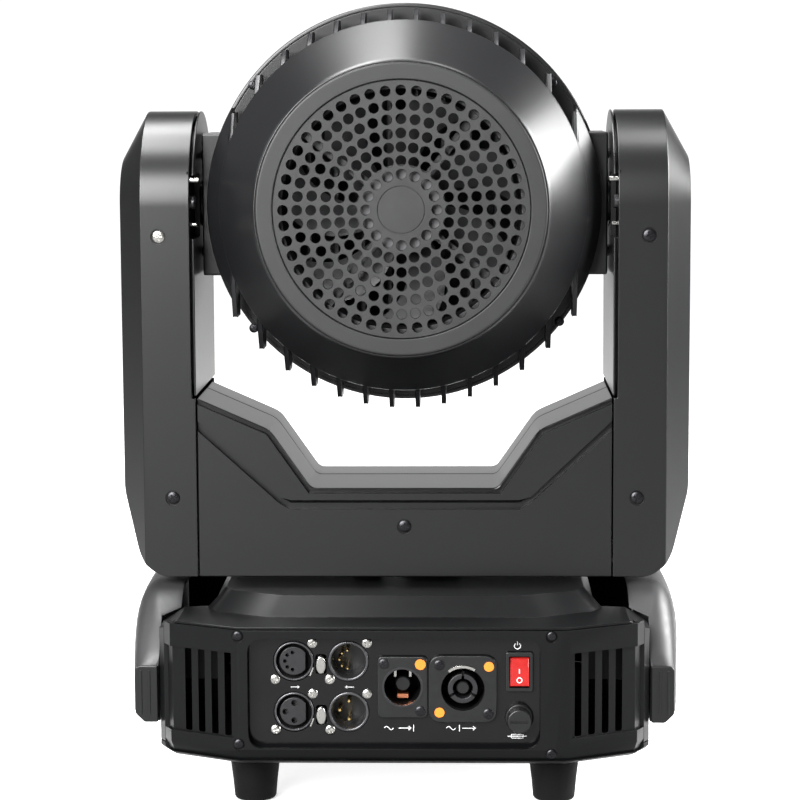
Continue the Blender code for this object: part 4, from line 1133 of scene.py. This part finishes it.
def make_lamp():
    low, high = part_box("front_housing")
    back, front = low.y, high.y
    profile = [(0.0930, back), (0.0960, back), (0.0960, 0.0757), (0.0975, 0.0777), (0.0975, front - 0.0012),
               (0.0962, front), (0.0880, front), (0.0868, front - 0.0012), (0.0836, 0.0782), (0.0930, 0.0780)]
    housing = turned("Y", rounded(profile, 0.0007, 3), LAMP, 144, True)
    grooves = []
    for y in (0.020, 0.058):
        groove = [(0.0952, y), (0.0975, y), (0.0975, y + 0.0012), (0.0952, y + 0.0012)]
        grooves.append(ring_solid("Y", groove, LAMP, 144, 0.0001))
    piece("lamp_housing", cut(housing, *grooves), "casing", "head", ["front_housing"])
    window = turned("Y", [(0.0920, 0.0747), (0.0923, 0.0750), (0.0923, 0.0767), (0.0920, 0.0770)], LAMP, 144)
    piece("window", window, "glass", "head", ["front_window"])
    board = turned("Y", [(0.0695, -0.0081), (0.0700, -0.0084), (0.0700, -0.0095), (0.0697, -0.0097)], LAMP, 96)
    piece("led_plate", board, "board", "head", ["led_board"])
    chips = [slab("Y", rectangle(place, 0.0070, 0.0070, 0.0004, 2), -0.0081, -0.0072, 0.0002, 1)
             for place in lens_places()]
    piece("led_chips", merged(*chips), "led", "head")

    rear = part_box("zoom_carriage")[0].y
    holes = [drill(place, 0.0138, 40, (0.02, 0.06)) for place in lens_places()]
    holes.append(drill(LEAD_SCREW, 0.0031, 24, (0.02, 0.06)))
    plate = cut(slab("Y", circle(0.0800, 120, LAMP), rear + 0.0005, 0.0330, 0.0005), merged(*holes))
    nut = ring_solid("Y", [(0.0031, rear), (0.0085, rear), (0.0085, 0.038), (0.0031, 0.038)], LEAD_SCREW, 48)
    piece("lens_plate", merged(plate, nut), "insert", "zoom", ["zoom_carriage"])
    lens = [(0.0088, 0.0310), (0.0106, 0.0332), (0.0135, 0.0420), (0.0146, 0.0455), (0.0146, 0.0465)]
    lens += [(0.0142 * math.cos(math.radians(a)), 0.0465 + 0.0035 * math.sin(math.radians(a)))
             for a in (15, 35, 55, 78)]
    domes = [turned("Y", lens, place, 48) for place in lens_places()]
    piece("lenses", merged(*domes), "lens", "zoom")
    threads = [(0.0024 - 0.0004 * (i % 2), 0.0140 + 0.0005 * i) for i in range(116)]
    thread = turned("Y", threads, LEAD_SCREW, 24)
    piece("lead_screw", thread, "steel", "zoom_screw", ["zoom_screw"], sharp=50)


# ---------------------------------------------------------------- plain inside parts

def dress(name, look):
    """Give a carried-over CAD node its material."""
    item = bpy.data.objects[name]
    item.data.materials.clear()
    item.data.materials.append(LOOKS[look])


INSIDE = {
    "power_supply": ("aluminium", "aluminium"), "pan_motor": ("screw_black", "fan_plastic"),
    "pan_motor_pulley": ("aluminium", "aluminium"), "pan_belt": ("belt", "rubber"),
    "pan_bearing": ("steel", "steel"), "pan_shaft_and_pulley": ("aluminium", "aluminium"),
    "yoke_frame": ("steel", "steel"), "tilt_motor": ("screw_black", "fan_plastic"),
    "tilt_motor_pulley": ("aluminium", "aluminium"), "tilt_belt": ("belt", "rubber"),
    "tilt_bearing_right": ("steel", "steel"), "tilt_bearing_left": ("steel", "steel"),
    "tilt_pulley": ("aluminium", "aluminium"), "zoom_motor": ("steel", "steel"),
}


# ---------------------------------------------------------------- stage

def softbox(name, place, target, width, height, power):
    """A rectangular area light, in metres and watts, aimed at a target."""
    data = bpy.data.lights.new(name, "AREA")
    data.shape = "RECTANGLE"
    data.size, data.size_y = width, height
    data.energy = power
    lamp = linked(bpy.data.objects.new(name, data))
    lamp.location = place
    lamp.rotation_euler = (Vector(target) - Vector(place)).to_track_quat("-Z", "Y").to_euler()


def make_world():
    """White straight ahead of the camera, grey elsewhere."""
    world = bpy.data.worlds.new("studio")
    bpy.context.scene.world = world
    world.use_nodes = True
    tree = world.node_tree
    place = add_node(tree, "TexCoord", {}, "Generated")
    ahead = add_node(tree, "SeparateXYZ", {"Vector": place}, "Y")
    strength = add_node(tree, "MapRange", {"Value": ahead, "From Min": 0.90, "From Max": 0.975, "To Min": 0.10,
                                           "To Max": 1.10}, "Result", interpolation_type="SMOOTHSTEP")
    set_inputs(tree, tree.nodes["Background"], {"Color": (1.0, 1.0, 1.0, 1.0), "Strength": strength})


def make_floor():
    """A glowing sheet with a painted pool of light: it glows white under and behind the object, and fades to
    painted grey shade towards the camera and to the sides.
    """
    bm = bmesh.new()
    bm.faces.new([bm.verts.new((x, y, -0.0002)) for x, y in ((-4, -4), (4, -4), (4, 4), (-4, 4))])
    floor = linked(bpy.data.objects.new("floor", finish(bm)))
    made, tree, shader = shader_of("painted_light_floor")
    place = add_node(tree, "TexCoord", {}, "Object")
    x, y = (add_node(tree, "SeparateXYZ", {"Vector": place}, axis) for axis in "XY")
    aside = add_node(tree, "Math", {0: x}, "Value", operation="ABSOLUTE")
    past = add_node(tree, "Math", {0: y, 1: -0.23, 2: aside}, "Value", operation="MULTIPLY_ADD")
    # Painted light: the floor's glow and colour together make a pool of light, brightest under and behind the
    # object, grey towards the camera and the sides.
    painted_light_pool = add_node(tree, "Math", {0: ramp(tree, y, 0.02, 0.86, -0.112, -0.070),
                                   1: ramp(tree, past, 1.0, 0.08, 0.28, 0.46)}, "Value", operation="MULTIPLY")
    tone = ramp(tree, painted_light_pool, (0.20, 0.20, 0.20), (0.80, 0.80, 0.80), 0.02, 0.86)
    set_inputs(tree, shader, {
        "Base Color": tone, "Emission Color": (1.0, 1.0, 1.0, 1.0), "Emission Strength": painted_light_pool, "Roughness": 0.9,
        "Specular IOR Level": 0.1})
    floor.data.materials.append(made)


def make_camera():
    """The photograph's viewpoint: behind the object, a little above it and almost square on."""
    yaw, pitch, roll = math.radians(1.59), math.radians(7.05), math.radians(-0.28)
    forward = Vector((-math.sin(yaw) * math.cos(pitch), math.cos(yaw) * math.cos(pitch), -math.sin(pitch)))
    data = bpy.data.cameras.new("camera")
    data.lens = 112.185
    data.sensor_width = 36.0
    camera = linked(bpy.data.objects.new("camera", data))
    camera.location = Vector((-0.0036, 0.0, 0.202)) - forward * 1.377
    turn = forward.to_track_quat("-Z", "Y").to_matrix() @ Matrix.Rotation(roll, 3, "Z")
    camera.rotation_euler = turn.to_euler()
    bpy.context.scene.camera = camera


for make in (make_tray, make_cover, make_bezel, make_handles, make_feet, make_panel, make_inlet, make_outlet,
             make_switch, make_fuse, make_symbols, make_display, make_crossbar, make_arms, make_collar,
             make_ring, make_trunnions, make_shroud, make_grille, make_heat_sink, make_fan, make_lamp):
    make()
for pins in (5, 3):
    make_female(f"dmx_out_{pins}_pin", pins)
for pins in (5, 3):
    make_male(f"dmx_in_{pins}_pin", pins)
for name in LATCHES:
    make_latch(name)
for name, (look, slot) in INSIDE.items():
    dress(name, look)

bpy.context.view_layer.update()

make_world()
make_floor()
make_camera()
softbox("key_left", (-0.98, -1.90, 1.06), (0.0, 0.0, 0.27), 1.5, 1.3, 128)
softbox("right_side", (1.34, 0.34, 0.76), (0.0, 0.0, 0.35), 0.8, 0.6, 46)
softbox("right_rim", (1.25, -0.34, 0.50), (0.0, 0.0, 0.33), 0.40, 0.55, 16)
softbox("overhead", (-0.45, -0.05, 1.60), (0.0, 0.0, 0.30), 1.0, 0.42, 27)
softbox("overhead_right", (0.36, -0.05, 1.60), (0.12, 0.0, 0.30), 0.55, 0.42, 7)
softbox("top_back", (-0.18, 0.42, 1.53), (0.0, 0.0, 0.31), 0.45, 0.45, 8)
softbox("left_side", (-1.40, 0.10, 0.90), (0.0, 0.0, 0.20), 0.5, 0.6, 2)
bpy.context.scene.view_settings.view_transform = "Standard"
